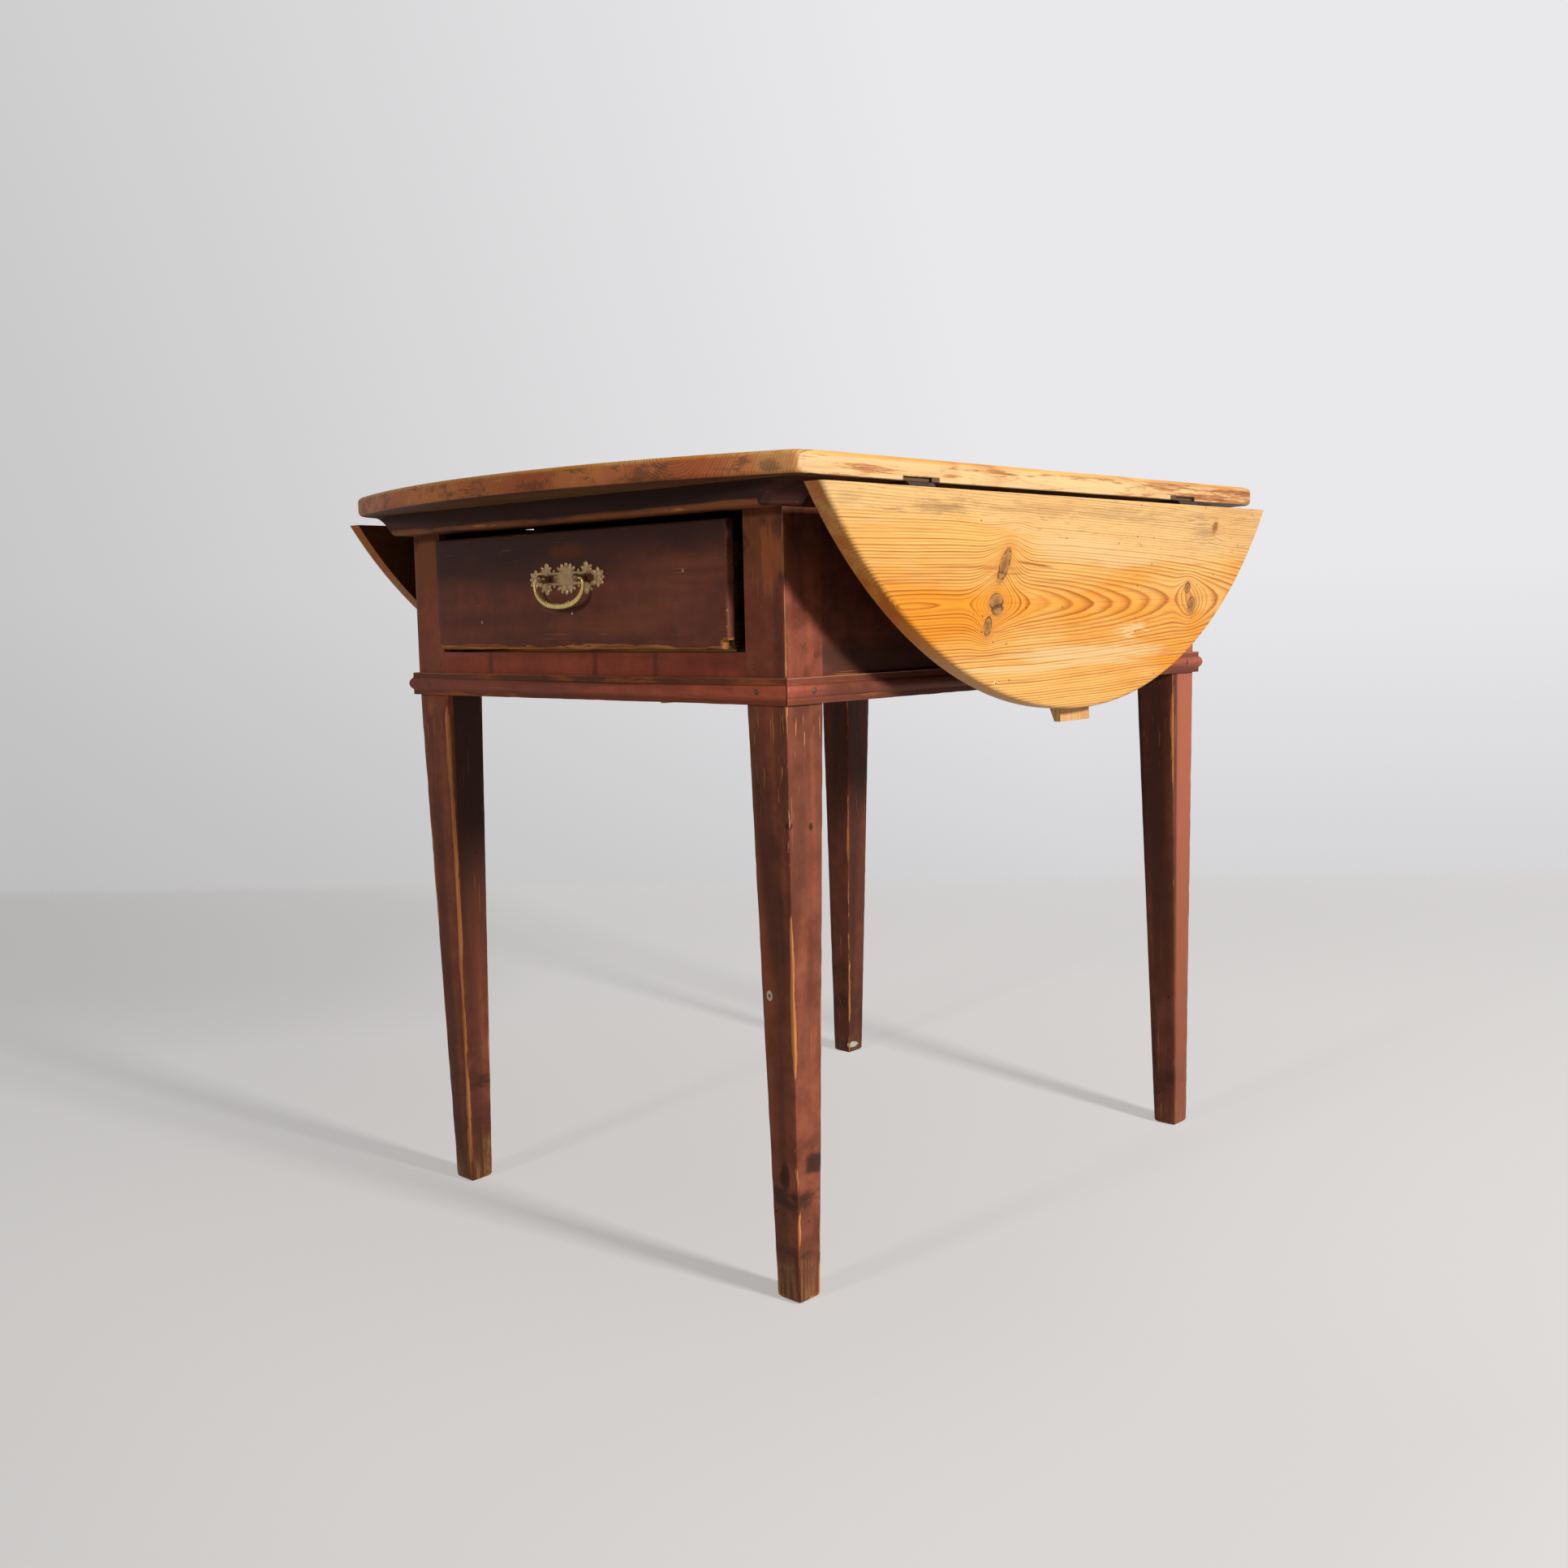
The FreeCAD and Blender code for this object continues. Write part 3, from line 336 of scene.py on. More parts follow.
def top_marks(wood, run, side, depth):
    """The top's brown ends, the clean corner, the red smears along its sides, and painted shade in the
    hinge seats and on the underside.
    """
    mottle = wood.cloud((26.0, 26.0, 60.0), 6.0, 0.72)
    broad = wood.cloud((7.0, 7.0, 12.0), 3.0)
    beyond = abs(run) + abs(side) * 0.2
    end = beyond.band(0.446, 0.456)
    lower = depth.band(0.759, 0.755)
    stain = broad.band(0.4, 0.62).between((224, 136, 80), (194, 102, 60))
    stain = stain.laid((104, 66, 46), mottle.band(0.51, 0.61) * 0.72)
    stain = stain.laid((226, 172, 118), mottle.band(0.4, 0.31) * 0.6)
    clean = wood.away((0.314, -0.41, 0.75), (0.024, 0.03, 0.03), mottle, 1.6)
    stain = stain.laid((206, 156, 94), clean.band(1.0, 0.8) * 0.6)
    split = wood.away((0.307, -0.41, 0.747), (16 * MM, 0.03, 7 * MM), mottle, 4.0)
    stain = stain.laid((92, 62, 40), split.band(0.8, 0.4) * 0.6)
    wood.lay(stain, end * lower * 0.94)
    smear = wood.cloud((10.0, 7.0, 130.0), 6.0, 0.75)
    fine = wood.cloud((60.0, 30.0, 700.0), 3.0, 0.6)
    rim = abs(side).band(0.3255, 0.3272) * lower
    wood.lay((248, 214, 160), rim * 0.75)
    smeared = smear + run.band(-0.1, 0.3, 0.0, 0.07)
    wood.lay((188, 112, 56), rim * smeared.band(0.53, 0.6) * 0.75)
    red = smeared.band(0.58, 0.66) * fine.band(0.42, 0.58)
    wood.lay((140, 66, 34), rim * red * 0.8)
    wood.lay((130, 92, 60), rim * smear.band(0.34, 0.26) * 0.7)
    # Painted shade in the hinge seats let into the top's sides.
    from_hinge = abs(abs(run) - HINGE_Y)
    level = depth + mottle.spread(0.004)
    let_in = abs(side).band(0.3235, 0.3245) * from_hinge.band(0.0275, 0.0255) * level.band(0.7455, 0.7443)
    wood.lay((70, 52, 42), let_in * 0.9)
    # Painted shade on the top's underside.
    wood.lay((66, 40, 28), depth.band(0.7412, 0.7404) * 0.85)


def stay_marks(wood, run, side, depth):
    """The stays are dry and greyish."""
    wood.lay((226, 190, 148), 0.4)


def drawer_wood_marks(wood, run, side, depth):
    """Painted shade: the drawer's wood just behind its front, dovetailed ends and all, is made nearly black
    for the shaded gap by the frame.
    """
    wood.lay((40, 25, 19), run.band(-0.325, -0.338) * 0.9)


# Oxide-red paint over pine: dark brushed streaks, bare worn arrises, scratches and worm holes
PAINT_RED = (166, 93, 68)
PAINT_DEEP = (136, 71, 49)
STREAK_DARK = (66, 41, 32)
BARE_OCHRE = (224, 146, 86)
RUBBED_RED = (190, 104, 66)
# Dark smudges on the legs; also used as painted shade on the front left leg's shaded face.
SMUDGE_AND_SHADE = (48, 31, 25)


def paint(key, name, along, lean=NO_TURN, red=PAINT_RED, deep=PAINT_DEEP, streak=0.75, wear=1.0,
          cover=0.44, hold=0.4, bare=BARE_OCHRE, extra=None):
    """cover is lower where more of the arrises is bare, and wear is how far in the bare wood reaches.

    hold is how firmly the paint keeps to the arrises elsewhere.
    """
    coat = Finish(key, name, along)
    coat.feed(coat.shader, {"Specular IOR Level": 0.12})
    brush = coat.grain(1.8, 26.0, 2.0, 0.5, 0.4, turn=lean)
    bristle = coat.grain(9.0, 260.0, 3.0, 0.6, turn=lean)
    mottle = coat.cloud(38.0, 5.0, 0.65)
    coat.colour = mottle.band(0.3, 0.7).between(deep, red)
    fresh = coat.grain(4.0, 14.0, 4.0, 0.6)
    coat.lay((178, 100, 70), fresh.band(0.56, 0.72) * 0.45)
    brushed = (brush + bristle.spread(0.08)).band(0.45, 0.62)
    coat.lay(STREAK_DARK, brushed * streak)
    if extra:
        extra(coat, mottle, bristle)
    scratch = coat.grain(16.0, 620.0, 2.0, 0.5)
    region = coat.grain(7.0, 22.0, 2.0)
    coat.lay((196, 124, 76), scratch.band(0.66, 0.7) * region.band(0.54, 0.64) * 0.7)
    edge = coat.put("Attribute", {}, "Fac", attribute_name="arris")
    nibble = coat.grain(9.0, 60.0, 5.0, 0.62)
    reach = nibble.band(cover, cover + 0.26, -hold * MM, 4.5 * MM * wear)
    inward = edge - reach
    rubbed = inward.band(0.3 * MM, -0.5 * MM)
    coat.lay((118, 62, 40), inward.band(2.5 * MM, -0.3 * MM) * 0.4)
    raw = bristle.band(0.35, 0.62).between((158, 94, 50), bare)
    coat.lay(raw, rubbed * 0.95)
    hole = coat.pits(75.0, 0.095, 0.935)
    coat.lay((22, 13, 10), hole * 0.92)
    roughness = mottle.band(0.2, 0.8, 0.38, 0.56) + rubbed * 0.15
    height = bristle * 0.4 + mottle * 0.3 + rubbed * -0.8 + hole * -2.0
    coat.surface(roughness, height)


def leg_marks(coat, mottle, bristle):
    """Grime and bare wood low on the legs, scratches below the moulding, rubbed posts above it; the rear
    legs darker; painted shade where the table and the leaf shade the right faces, and painted light on
    faces turned to the lamp.
    """
    level = coat.z
    height = level + mottle.spread(0.16)
    coat.lay((72, 44, 34), height.band(0.15, 0.02) * 0.55)
    grime = coat.cloud((12.0, 12.0, 26.0), 4.0, 0.6)
    coat.lay((40, 28, 24), level.band(0.2, 0.09) * grime.band(0.55, 0.66) * 0.7)
    coat.lay((190, 138, 82), height.band(0.055, -0.01) * bristle.band(0.38, 0.6) * 0.75)
    thread = coat.cloud((420.0, 420.0, 24.0), 2.0, 0.5)
    below_moulding = level.band(0.4, 0.5) * level.band(0.55, 0.53)
    coat.lay((222, 144, 88), below_moulding * thread.band(0.64, 0.67) * 0.8)
    # Dark smudges on the near leg, and a dark patch at the top of the near post's front under the batten.
    for centre, size in (
            ((0.264, -0.325, 0.128), (0.02, 0.014, 0.012)), ((0.253, -0.347, 0.118), (0.008, 0.02, 0.016)),
            ((0.268, -0.326, 0.438), (0.02, 0.004, 0.005)), ((0.271, -0.353, 0.441), (0.005, 0.005, 0.004)),
            ((0.236, -0.356, 0.722), (0.014, 0.01, 0.026))):
        coat.lay(SMUDGE_AND_SHADE, coat.away(centre, size, mottle, 1.4).band(1.1, 0.6) * 0.85)
    for across, facing, place, slope, reach, half_width, share, face in (
            (coat.x, coat.y, (0.4, 0.247), -0.1, 0.18, 13 * MM, 0.6, (-0.345, -0.35)),
            (coat.x, coat.y, (0.18, 0.256), -0.06, 0.08, 9 * MM, 0.2, (-0.338, -0.341)),
            (coat.y, coat.x, (0.4, -0.3424), 0.137, 0.09, 8 * MM, 0.2, (0.266, 0.268)),
            (coat.y, coat.x, (0.29, -0.327), 0.15, 0.12, 9 * MM, 0.25, (0.262, 0.264))):
        swipe = stroke(level, across + mottle.spread(0.008), place, slope, reach, half_width)
        coat.lay((62, 42, 35), swipe * facing.band(*face) * share)
    # Painted shadow: the upper part of the front left leg's right face, darkened where the table shades it
    # from the lamp.
    shady = coat.x.band(-0.1, -0.2) * coat.y.band(-0.2, -0.3) * coat.y.band(-0.351, -0.345)
    coat.lay(SMUDGE_AND_SHADE, shady * height.band(0.14, 0.42) * 0.9)
    # Painted shade: the upper part of the right posts' right faces, darkened where the leaf shades them.
    right_face = coat.x.band(0.2705, 0.2725)
    coat.lay((44, 25, 20), right_face * height.band(0.63, 0.69) * 0.6)
    rear = coat.y.band(0.1, 0.2) * 0.5
    coat.lay((78, 46, 36), rear)
    # Painted light: the rear right leg made lighter behind its front face, for its lamp-lit right face.
    rear_right = rear * coat.x.band(-0.1, 0.1)
    coat.lay((196, 112, 82), rear_right * coat.y.band(0.316, 0.322) * level.band(0.05, 0.5, 0.9, 1.6))
    # Redder paint and painted light: a lighter red on the right posts' right faces above the moulding,
    # where the lamp falls.
    coat.lay((196, 98, 74), right_face * level.band(0.535, 0.55) * 0.2 * mottle.band(0.35, 0.6))
    worn = coat.cloud((22.0, 22.0, 14.0), 4.0, 0.65)
    upper = (level + worn.spread(0.1)).band(0.645, 0.665)
    brown = worn.band(0.5, 0.62).between((142, 82, 46), (74, 44, 32))
    coat.lay(brown, upper * coat.y.band(-0.3515, -0.3545) * 0.75)
    patch = coat.away((0.258, -0.356, 0.677), (0.016, 0.01, 0.026))
    patch = patch + worn.spread(3.0) + bristle.spread(2.4)
    coat.lay((194, 108, 62), patch.band(1.2, 0.5) * 0.7)
    corner = coat.x.band(0.273, 0.2735) * coat.y.band(-0.355, -0.3555) * level.band(0.571, 0.574)
    coat.lay((222, 150, 102), corner * bristle.band(0.3, 0.5) * 0.7)
    dot = coat.away((0.241, -0.349, 0.285), (3.7 * MM, 0.01, 5.0 * MM))
    coat.lay((232, 216, 190), dot.band(1.1, 0.85))
    coat.lay((120, 90, 70), dot.band(0.55, 0.35))
    chip = coat.away((-0.245, 0.327, 0.012), (4 * MM, 0.012, 5 * MM), mottle, 1.8)
    coat.lay((232, 220, 200), chip.band(1.0, 0.8))


def rail_marks(coat, mottle, bristle):
    """Upright dark strokes on the front rail."""
    for place in (-0.144, 0.022, 0.108):
        mark = coat.away((place, 0.0, 0.58), (6 * MM, 1.0, 0.03), mottle, 0.8)
        coat.lay(STREAK_DARK, mark.band(1.1, 0.2) * 0.6)


POST_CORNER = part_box("leg_rear_right")[1]


def moulding_marks(coat, mottle, bristle):
    """Grime and painted shade in the creases above and below the bead, a rubbed upper arris and open
    mitres.
    """
    level = coat.z + bristle.spread(0.006)
    # Grime and painted shade: darker under the upper fillet and under the bead, where shade falls.
    crease_grime_and_shade = level.band(0.5632, 0.5648) + level.band(0.553, 0.5505)
    coat.lay((84, 52, 42), crease_grime_and_shade * 0.55)
    coat.lay((238, 170, 126), coat.z.band(0.5696, 0.5703) * bristle.band(0.3, 0.55) * 0.6)
    from_mitre = abs((abs(coat.x) - POST_CORNER[0]) - (abs(coat.y) - POST_CORNER[1]))
    coat.lay((36, 20, 16), from_mitre.band(1.3 * MM, 0.6 * MM) * 0.85)


def end_moulding_marks(coat, mottle, bristle):
    """The front moulding is darker towards the left and redder towards the right."""
    drawn = coat.cloud((8.0, 40.0, 90.0), 4.0, 0.6)
    across = coat.x + drawn.spread(0.5)
    coat.lay((104, 72, 60), across.band(0.1, -0.02) * 0.4)
    coat.lay((232, 116, 74), across.band(0.14, 0.22) * 0.5)
    moulding_marks(coat, mottle, bristle)


def drawer_marks(coat, mottle, bristle):
    """Painted shade on the drawer front's upper half under the top's overhang, the rubbed paint about the
    pull, specks and scratches, and painted shade on the front's ends inside the frame.
    """
    run, level = coat.x, coat.z
    # Painted shade: darker towards the top of the drawer front, where the top's overhang shades it.
    wave = coat.cloud((4.0, 4.0, 9.0), 3.0)
    height = level + wave.spread(0.1) + run * -0.03
    coat.lay((50, 30, 25), height.band(0.645, 0.7) * 0.88)
    rub = coat.away((-0.003, -0.366, 0.691), (0.04, 1.0, 0.011), mottle, 1.2)
    coat.lay((122, 64, 40), rub.band(1.0, 0.3) * 0.6)
    for place, slope in (((-0.032, 0.637), -0.08), ((-0.036, 0.634), -0.2), ((-0.028, 0.641), 0.02)):
        coat.lay((170, 112, 68), stroke(run, level, place, slope, 0.017, 0.35 * MM) * 0.8)
    chip = coat.away((0.2115, -0.358, 0.6), (0.008, 0.014, 0.008), mottle, 1.6)
    coat.lay((232, 160, 80), chip.band(1.0, 0.8) * 0.85)
    # Painted shade: the front's ends, inside the frame, made nearly black like the shaded gap by the posts.
    coat.lay((24, 15, 12), abs(run).band(0.214, 0.2146) * coat.y.band(-0.358, -0.356) * 0.95)
    for x, z in ((-0.143, 0.624), (0.159, 0.667), (0.002, 0.631)):
        coat.lay((206, 180, 160), coat.away((x, -0.366, z), (1.3 * MM, 1.0, 1.7 * MM)).band(1.2, 0.7))


def batten_marks(coat, mottle, bristle):
    """Dark paint and painted shade make the battens nearly black, ends included, where the top shades them;
    along the lower edge they are rubbed brown, partly a painted highlight where light catches it.
    """
    # Painted shade, partly dark paint: the whole batten is darkened nearly to black where the top shades
    # it.
    coat.lay((42, 27, 25), 0.8)
    drawn = coat.cloud((9.0, 30.0, 60.0), 4.0, 0.6)
    height = coat.z + drawn.spread(0.008)
    # The rubbed brown lower edge is partly painted light where the lamps catch it; the ends are left dark
    # as painted shade.
    lower = height.band(0.724, 0.7214) * abs(coat.x).band(0.2718, 0.2708)
    rubbed = drawn.band(0.42, 0.62).between((166, 98, 56), (88, 50, 35))
    coat.lay(rubbed, lower * 0.85)


# Metals
def metal(key, name, base, bright, stain, roughness, metallic, sunk=None):
    """sunk is the span from the front to the back of a relief whose hollows are dirty."""
    cast = Finish(key, name)
    blotch = cast.cloud(160.0, 5.0, 0.65)
    grain = cast.cloud(900.0, 3.0, 0.6)
    cast.colour = blotch.band(0.35, 0.65).between(base, bright)
    cast.lay(stain, grain.band(0.5, 0.75) * 0.6)
    if sunk:
        cast.lay((70, 50, 32), cast.y.band(*sunk) * 0.6)
    cast.feed(cast.shader, {"Metallic": metallic})
    rough = blotch.band(0.25, 0.75, roughness - 0.12, roughness + 0.12)
    cast.surface(rough, blotch * 0.6 + grain * 0.4, 0.3 * MM)


LEAF_KNOTS = ((-0.142, 0.666, 8 * MM, 16 * MM, 0.5), (-0.1545, 0.6305, 11 * MM, 10.5 * MM, 0.0),
              (-0.1687, 0.611, 6 * MM, 9 * MM, 0.2), (0.198, 0.645, 6 * MM, 6 * MM, 0.3),
              (0.2065, 0.626, 8 * MM, 9.5 * MM, 0.2), (0.2585, 0.7103, 5 * MM, 6.5 * MM, 0.4))


def round_knots(*places):
    return [(run, side, size * 1.15 * MM, size * MM, 0.1) for run, side, size in places]


# The finishes, each under the word that its pieces use
DARK_BRUSH = (0.10, 0.10, 0.0)
PLATE_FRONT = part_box("pull_backplate")[0][1]
pine("leaf_right", "scrubbed_leaf_pine", "yzx", (-0.25, 0.631, 0.3505), 0.075, 3.6, LEAF_KNOTS,
     marks=scrubbed_marks, calm=(0.3480, 0.3505))
pine("leaf_left", "far_leaf_pine", "yzx", (0.06, 0.62, -0.348), 0.06, 3.4,
     round_knots((0.12, 0.66, 8), (-0.17, 0.60, 7)), tone=0.85, marks=dark_inside)
pine("top_right", "top_pine_right", "yxz", (-0.20, 0.22, 0.758), 0.06, 3.6,
     round_knots((-0.22, 0.19, 9), (0.19, 0.25, 7)), marks=top_marks)
pine("top_middle", "top_pine_middle", "yxz", (0.15, -0.03, 0.752), 0.05, 3.8,
     round_knots((0.05, 0.02, 10), (-0.28, -0.06, 7)), marks=top_marks)
pine("top_left", "top_pine_left", "yxz", (-0.05, -0.24, 0.755), 0.055, 3.4,
     round_knots((-0.10, -0.20, 8), (0.27, -0.26, 9)), marks=top_marks)
pine("stay", "bare_stay_pine", "zyx", (0.6, 0.05, 0.30), 0.03, 2.6, marks=stay_marks)
pine("drawer_wood", "drawer_inside_pine", "yxz", (0.0, 0.05, 0.52), 0.02, 3.4, tone=0.42,
     marks=drawer_wood_marks)
paint("front_leg", "worn_red_front_leg", "z", DARK_BRUSH, streak=0.5, wear=0.8, cover=0.36, hold=1.5,
      extra=leg_marks)
paint("leg", "worn_red_upright", "z", DARK_BRUSH, wear=0.6, hold=1.1, extra=leg_marks)
# Painted shade: the side rails get a darker copy of the red paint, standing in for the shade under the
# leaves.
paint("side_rail", "worn_red_lengthwise_in_painted_shade", "y", (0.05, 0.0, 0.1), (120, 64, 47), (92, 47, 34))
paint("end_rail", "worn_red_crosswise", "x", (0.0, 0.05, 0.1), (188, 92, 67), (158, 74, 54), streak=0.4,
      wear=0.3, extra=rail_marks)
paint("side_moulding", "worn_red_side_moulding", "y", NO_TURN, (208, 112, 82), (172, 88, 64), wear=0.2,
      cover=0.5, bare=RUBBED_RED, extra=moulding_marks)
paint("end_moulding", "worn_red_end_moulding", "x", NO_TURN, (206, 108, 82), (176, 88, 66), wear=0.2,
      cover=0.5, bare=RUBBED_RED, extra=end_moulding_marks)
# The battens' paint; batten_marks darkens it with painted shade.
paint("batten", "batten_paint_and_painted_shade", "x", extra=batten_marks)
# The drawer's paint; drawer_marks lays painted shade on its upper half and on its ends.
paint("drawer", "drawer_paint_and_painted_shade", "x", (0.0, 0.12, 0.0), (144, 82, 65), (122, 67, 52), streak=0.4,
      wear=0.85, cover=0.36, bare=(216, 140, 84), extra=drawer_marks)
metal("plate", "dull_plate_brass", (184, 146, 100), (214, 176, 126), (116, 88, 60), 0.36, 0.4,
      (PLATE_FRONT + 0.6 * MM, PLATE_FRONT + 1.6 * MM))
metal("bail", "rubbed_bail_brass", (246, 208, 120), (255, 230, 150), (224, 184, 104), 0.24, 0.4)
metal("post", "dark_post_brass", (112, 84, 50), (150, 116, 68), (70, 50, 32), 0.4, 0.5)
metal("iron", "brown_iron", (56, 44, 38), (86, 66, 54), (34, 26, 23), 0.55, 0.7)
metal("nail", "painted_nail", (84, 48, 38), (106, 62, 46), (54, 32, 26), 0.5, 0.1)

# Mesh tools
WELD = 1e-6
NEAR = 0.1 * MM
FLAT = math.radians(0.4)
NIBBLED = 2.5 * MM
COARSE_BITES = 55
FINE_BITES = 190


def in_scene(name, data):
    item = bpy.data.objects.new(name, data)
    scene.collection.objects.link(item)
    return item


def mesh_of(name, bm):
    mesh = bpy.data.meshes.new(name)
    bm.to_mesh(mesh)
    bm.free()
    return mesh


def from_mesh(mesh):
    bm = bmesh.new()
    bm.from_mesh(mesh)
    return bm


def weld(bm):
    bmesh.ops.remove_doubles(bm, verts=bm.verts, dist=WELD)


def points_in(parts):
    return [part for part in parts if isinstance(part, bmesh.types.BMVert)]


def block(low, high):
    bm = bmesh.new()
    bmesh.ops.create_cube(bm, size=1.0)
    bmesh.ops.scale(bm, vec=high - low, verts=bm.verts)
    bmesh.ops.translate(bm, vec=(low + high) / 2, verts=bm.verts)
    return bm


def solid(outline, push):
    """A flat outline pushed straight through to its other face."""
    bm = bmesh.new()
    face = bm.faces.new([bm.verts.new(point) for point in outline])
    pushed = bmesh.ops.extrude_face_region(bm, geom=[face])
    bmesh.ops.translate(bm, vec=push, verts=points_in(pushed["geom"]))
    bmesh.ops.recalc_face_normals(bm, faces=bm.faces)
    return bm


def corners(node):
    low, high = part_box(node)
    return Vector(low), Vector(high)


def node_copy(node):
    """A node's mesh with its flat faces whole."""
    bm = from_mesh(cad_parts[node].data)
    weld(bm)
    bmesh.ops.dissolve_limit(bm, angle_limit=FLAT, verts=bm.verts, edges=bm.edges)
    return bm


def sharp(edge, least=0.5):
    return len(edge.link_faces) == 2 and edge.calc_face_angle() > least


def middle(edge):
    return (edge.verts[0].co + edge.verts[1].co) / 2


def runs_along(edge, axis):
    span = edge.verts[1].co - edge.verts[0].co
    return abs(span[axis]) > 0.98 * span.length


def bevel(bm, edges, width, steps=2, held=True):
    """held keeps a rounding within its neighbours' lengths."""
    bmesh.ops.bevel(bm, geom=edges, offset=width, offset_type="OFFSET", segments=steps, profile=0.5,
                    affect="EDGES", material=-1, clamp_overlap=held)


def cut(bm, axis, place, parts=None):
    """Cuts a ring across a piece, or across some of its parts."""
    normal = Vector([float(number == axis) for number in range(3)])
    parts = parts or bm.verts[:] + bm.edges[:] + bm.faces[:]
    bmesh.ops.bisect_plane(bm, geom=parts, plane_co=normal * place, plane_no=normal, dist=WELD)


def slices(bm, axis, low, high, step):
    """Cuts rings across a piece at even steps."""
    count = max(2, round((high - low) / step))
    for number in range(1, count):
        cut(bm, axis, low + (high - low) * number / count)


def inset_wide(bm, width, least_area):
    faces = [face for face in bm.faces if face.calc_area() > least_area]
    bmesh.ops.inset_individual(bm, faces=faces, thickness=width, use_even_offset=True)


def lines_of(edges, spared=0.0):
    return [(edge.verts[0].co.copy(), edge.verts[1].co.copy(), spared) for edge in edges]


def reach_to(point, lines):
    """The distance to the nearest line, where a line less worn counts as a little further off."""
    nearest = 1.0
    for start, end, spared in lines:
        foot, share = geometry.intersect_point_line(point, start, end)
        foot = start + (end - start) * min(1.0, max(0.0, share))
        nearest = min(nearest, (point - foot).length + spared)
    return nearest


def wear_arrises(bm, lines, rounding=0.0, depth=0.0, seed=0.0):
    """Stores each point's distance to the exposed arrises and nibbles the arrises a little."""
    layer = bm.verts.layers.float.new("arris")
    bm.normal_update()
    for vert in bm.verts:
        gap = reach_to(vert.co, lines)
        vert[layer] = gap - rounding
        if depth and gap < NIBBLED:
            bite = noise.noise(vert.co * COARSE_BITES + Vector((seed, seed, seed))) + 0.35
            bite = bite + 0.6 * noise.noise(vert.co * FINE_BITES + Vector((seed, 0, seed)))
            vert.co -= vert.normal * depth * max(0.0, bite)


def piece(name, bm, finish, node, body="frame", angle=38):
    bmesh.ops.dissolve_degenerate(bm, dist=WELD, edges=bm.edges)
    bmesh.ops.recalc_face_normals(bm, faces=bm.faces)
    if bm.calc_volume(signed=True) < 0:
        bmesh.ops.reverse_faces(bm, faces=bm.faces)
    mesh = mesh_of(name, bm)
    mesh.shade_smooth()
    mesh.set_sharp_from_angle(angle=math.radians(angle))
    mesh.materials.append(finishes[finish])
    item = in_scene(name, mesh)
    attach(item, body)
    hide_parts(node)


SIDES = ("right", "left")
ENDS = ("front", "rear")
SIGNS = (-1, 1)
RAIL_BOTTOM = corners("moulding_front")[0].z
near_low, near_high = corners("leg_front_right")
POST_TOP = near_high.z
SHOULDERS = (near_low.x, -near_high.y)
STEP = 12 * MM
WIDE_FACE = 5000 * MM * MM

# Legs: square posts that taper to a foot a little off the middle, the outer arrises rubbed bare
FOOT_SHARE = 28 / 48
FOOT_ROUND = 4 * MM
LEG_ROUND = 1.2 * MM
BY_ARRIS = 4 * MM
LEG_RIM = 6 * MM
LEG_FACE = 2000 * MM * MM
LEG_STEP = 9 * MM
NEAR_SPARED = 0.7 * MM
INNER_SPARED = 1.6 * MM
POST_SPARED = 3 * MM
for number, (side, end) in enumerate(product(SIDES, ENDS)):
    node = "leg_%s_%s" % (end, side)
    low, high = corners(node)
    centre = (low + high) / 2
    bm = block(low, high)
    cut(bm, 2, RAIL_BOTTOM)
    feet = [vert for vert in bm.verts if vert.co.z < MM]
    bmesh.ops.scale(bm, vec=(FOOT_SHARE, FOOT_SHARE, 1), space=Matrix.Translation(-centre), verts=feet)
    stood = [vert.co.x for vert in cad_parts[node].data.vertices if vert.co.z < MM]
    shift = Vector(((min(stood) + max(stood)) / 2 - centre.x, 0, 0))
    bmesh.ops.translate(bm, vec=shift, verts=feet)
    outer = Vector((high.x if side == "right" else low.x, low.y if end == "front" else high.y))
    lines = []
    for x, y in product((low.x, high.x), (low.y, high.y)):
        off = (Vector((x, y)) - centre.xy) * FOOT_SHARE
        foot = Vector((centre.x + off.x, centre.y + off.y, low.z)) + shift
        shoulder = Vector((x, y, RAIL_BOTTOM))
        is_outer = (Vector((x, y)) - outer).length < MM
        rubbed = is_outer or (x == high.x and y == low.y)
        spared = NEAR_SPARED if node == "leg_front_right" else 0.0
        lines.append((foot, shoulder, spared if rubbed else INNER_SPARED))
        lines.append((foot, foot - Vector((2 * off.x, 0, 0)), 0.0))
        lines.append((foot, foot - Vector((0, 2 * off.y, 0)), 0.0))
        if is_outer:
            lines.append((shoulder, Vector((x, y, high.z)), POST_SPARED))
    bevel(bm, [edge for edge in bm.edges if middle(edge).z < MM], FOOT_ROUND, 3)
    worn = [edge for edge in bm.edges if reach_to(middle(edge), lines) < BY_ARRIS]
    bevel(bm, [edge for edge in worn if not runs_along(edge, 0) and not runs_along(edge, 1)], LEG_ROUND)
    inset_wide(bm, LEG_RIM, LEG_FACE)
    slices(bm, 2, 0.0, RAIL_BOTTOM, LEG_STEP)
    slices(bm, 2, RAIL_BOTTOM, POST_TOP, STEP)
    for axis in (0, 1):
        slices(bm, axis, low[axis], high[axis], STEP)
    wear_arrises(bm, lines, rounding=1.0 * MM, depth=0.5 * MM, seed=3.7 * number)
    piece("worn_" + node, bm, "front_leg" if end == "front" else "leg", node)

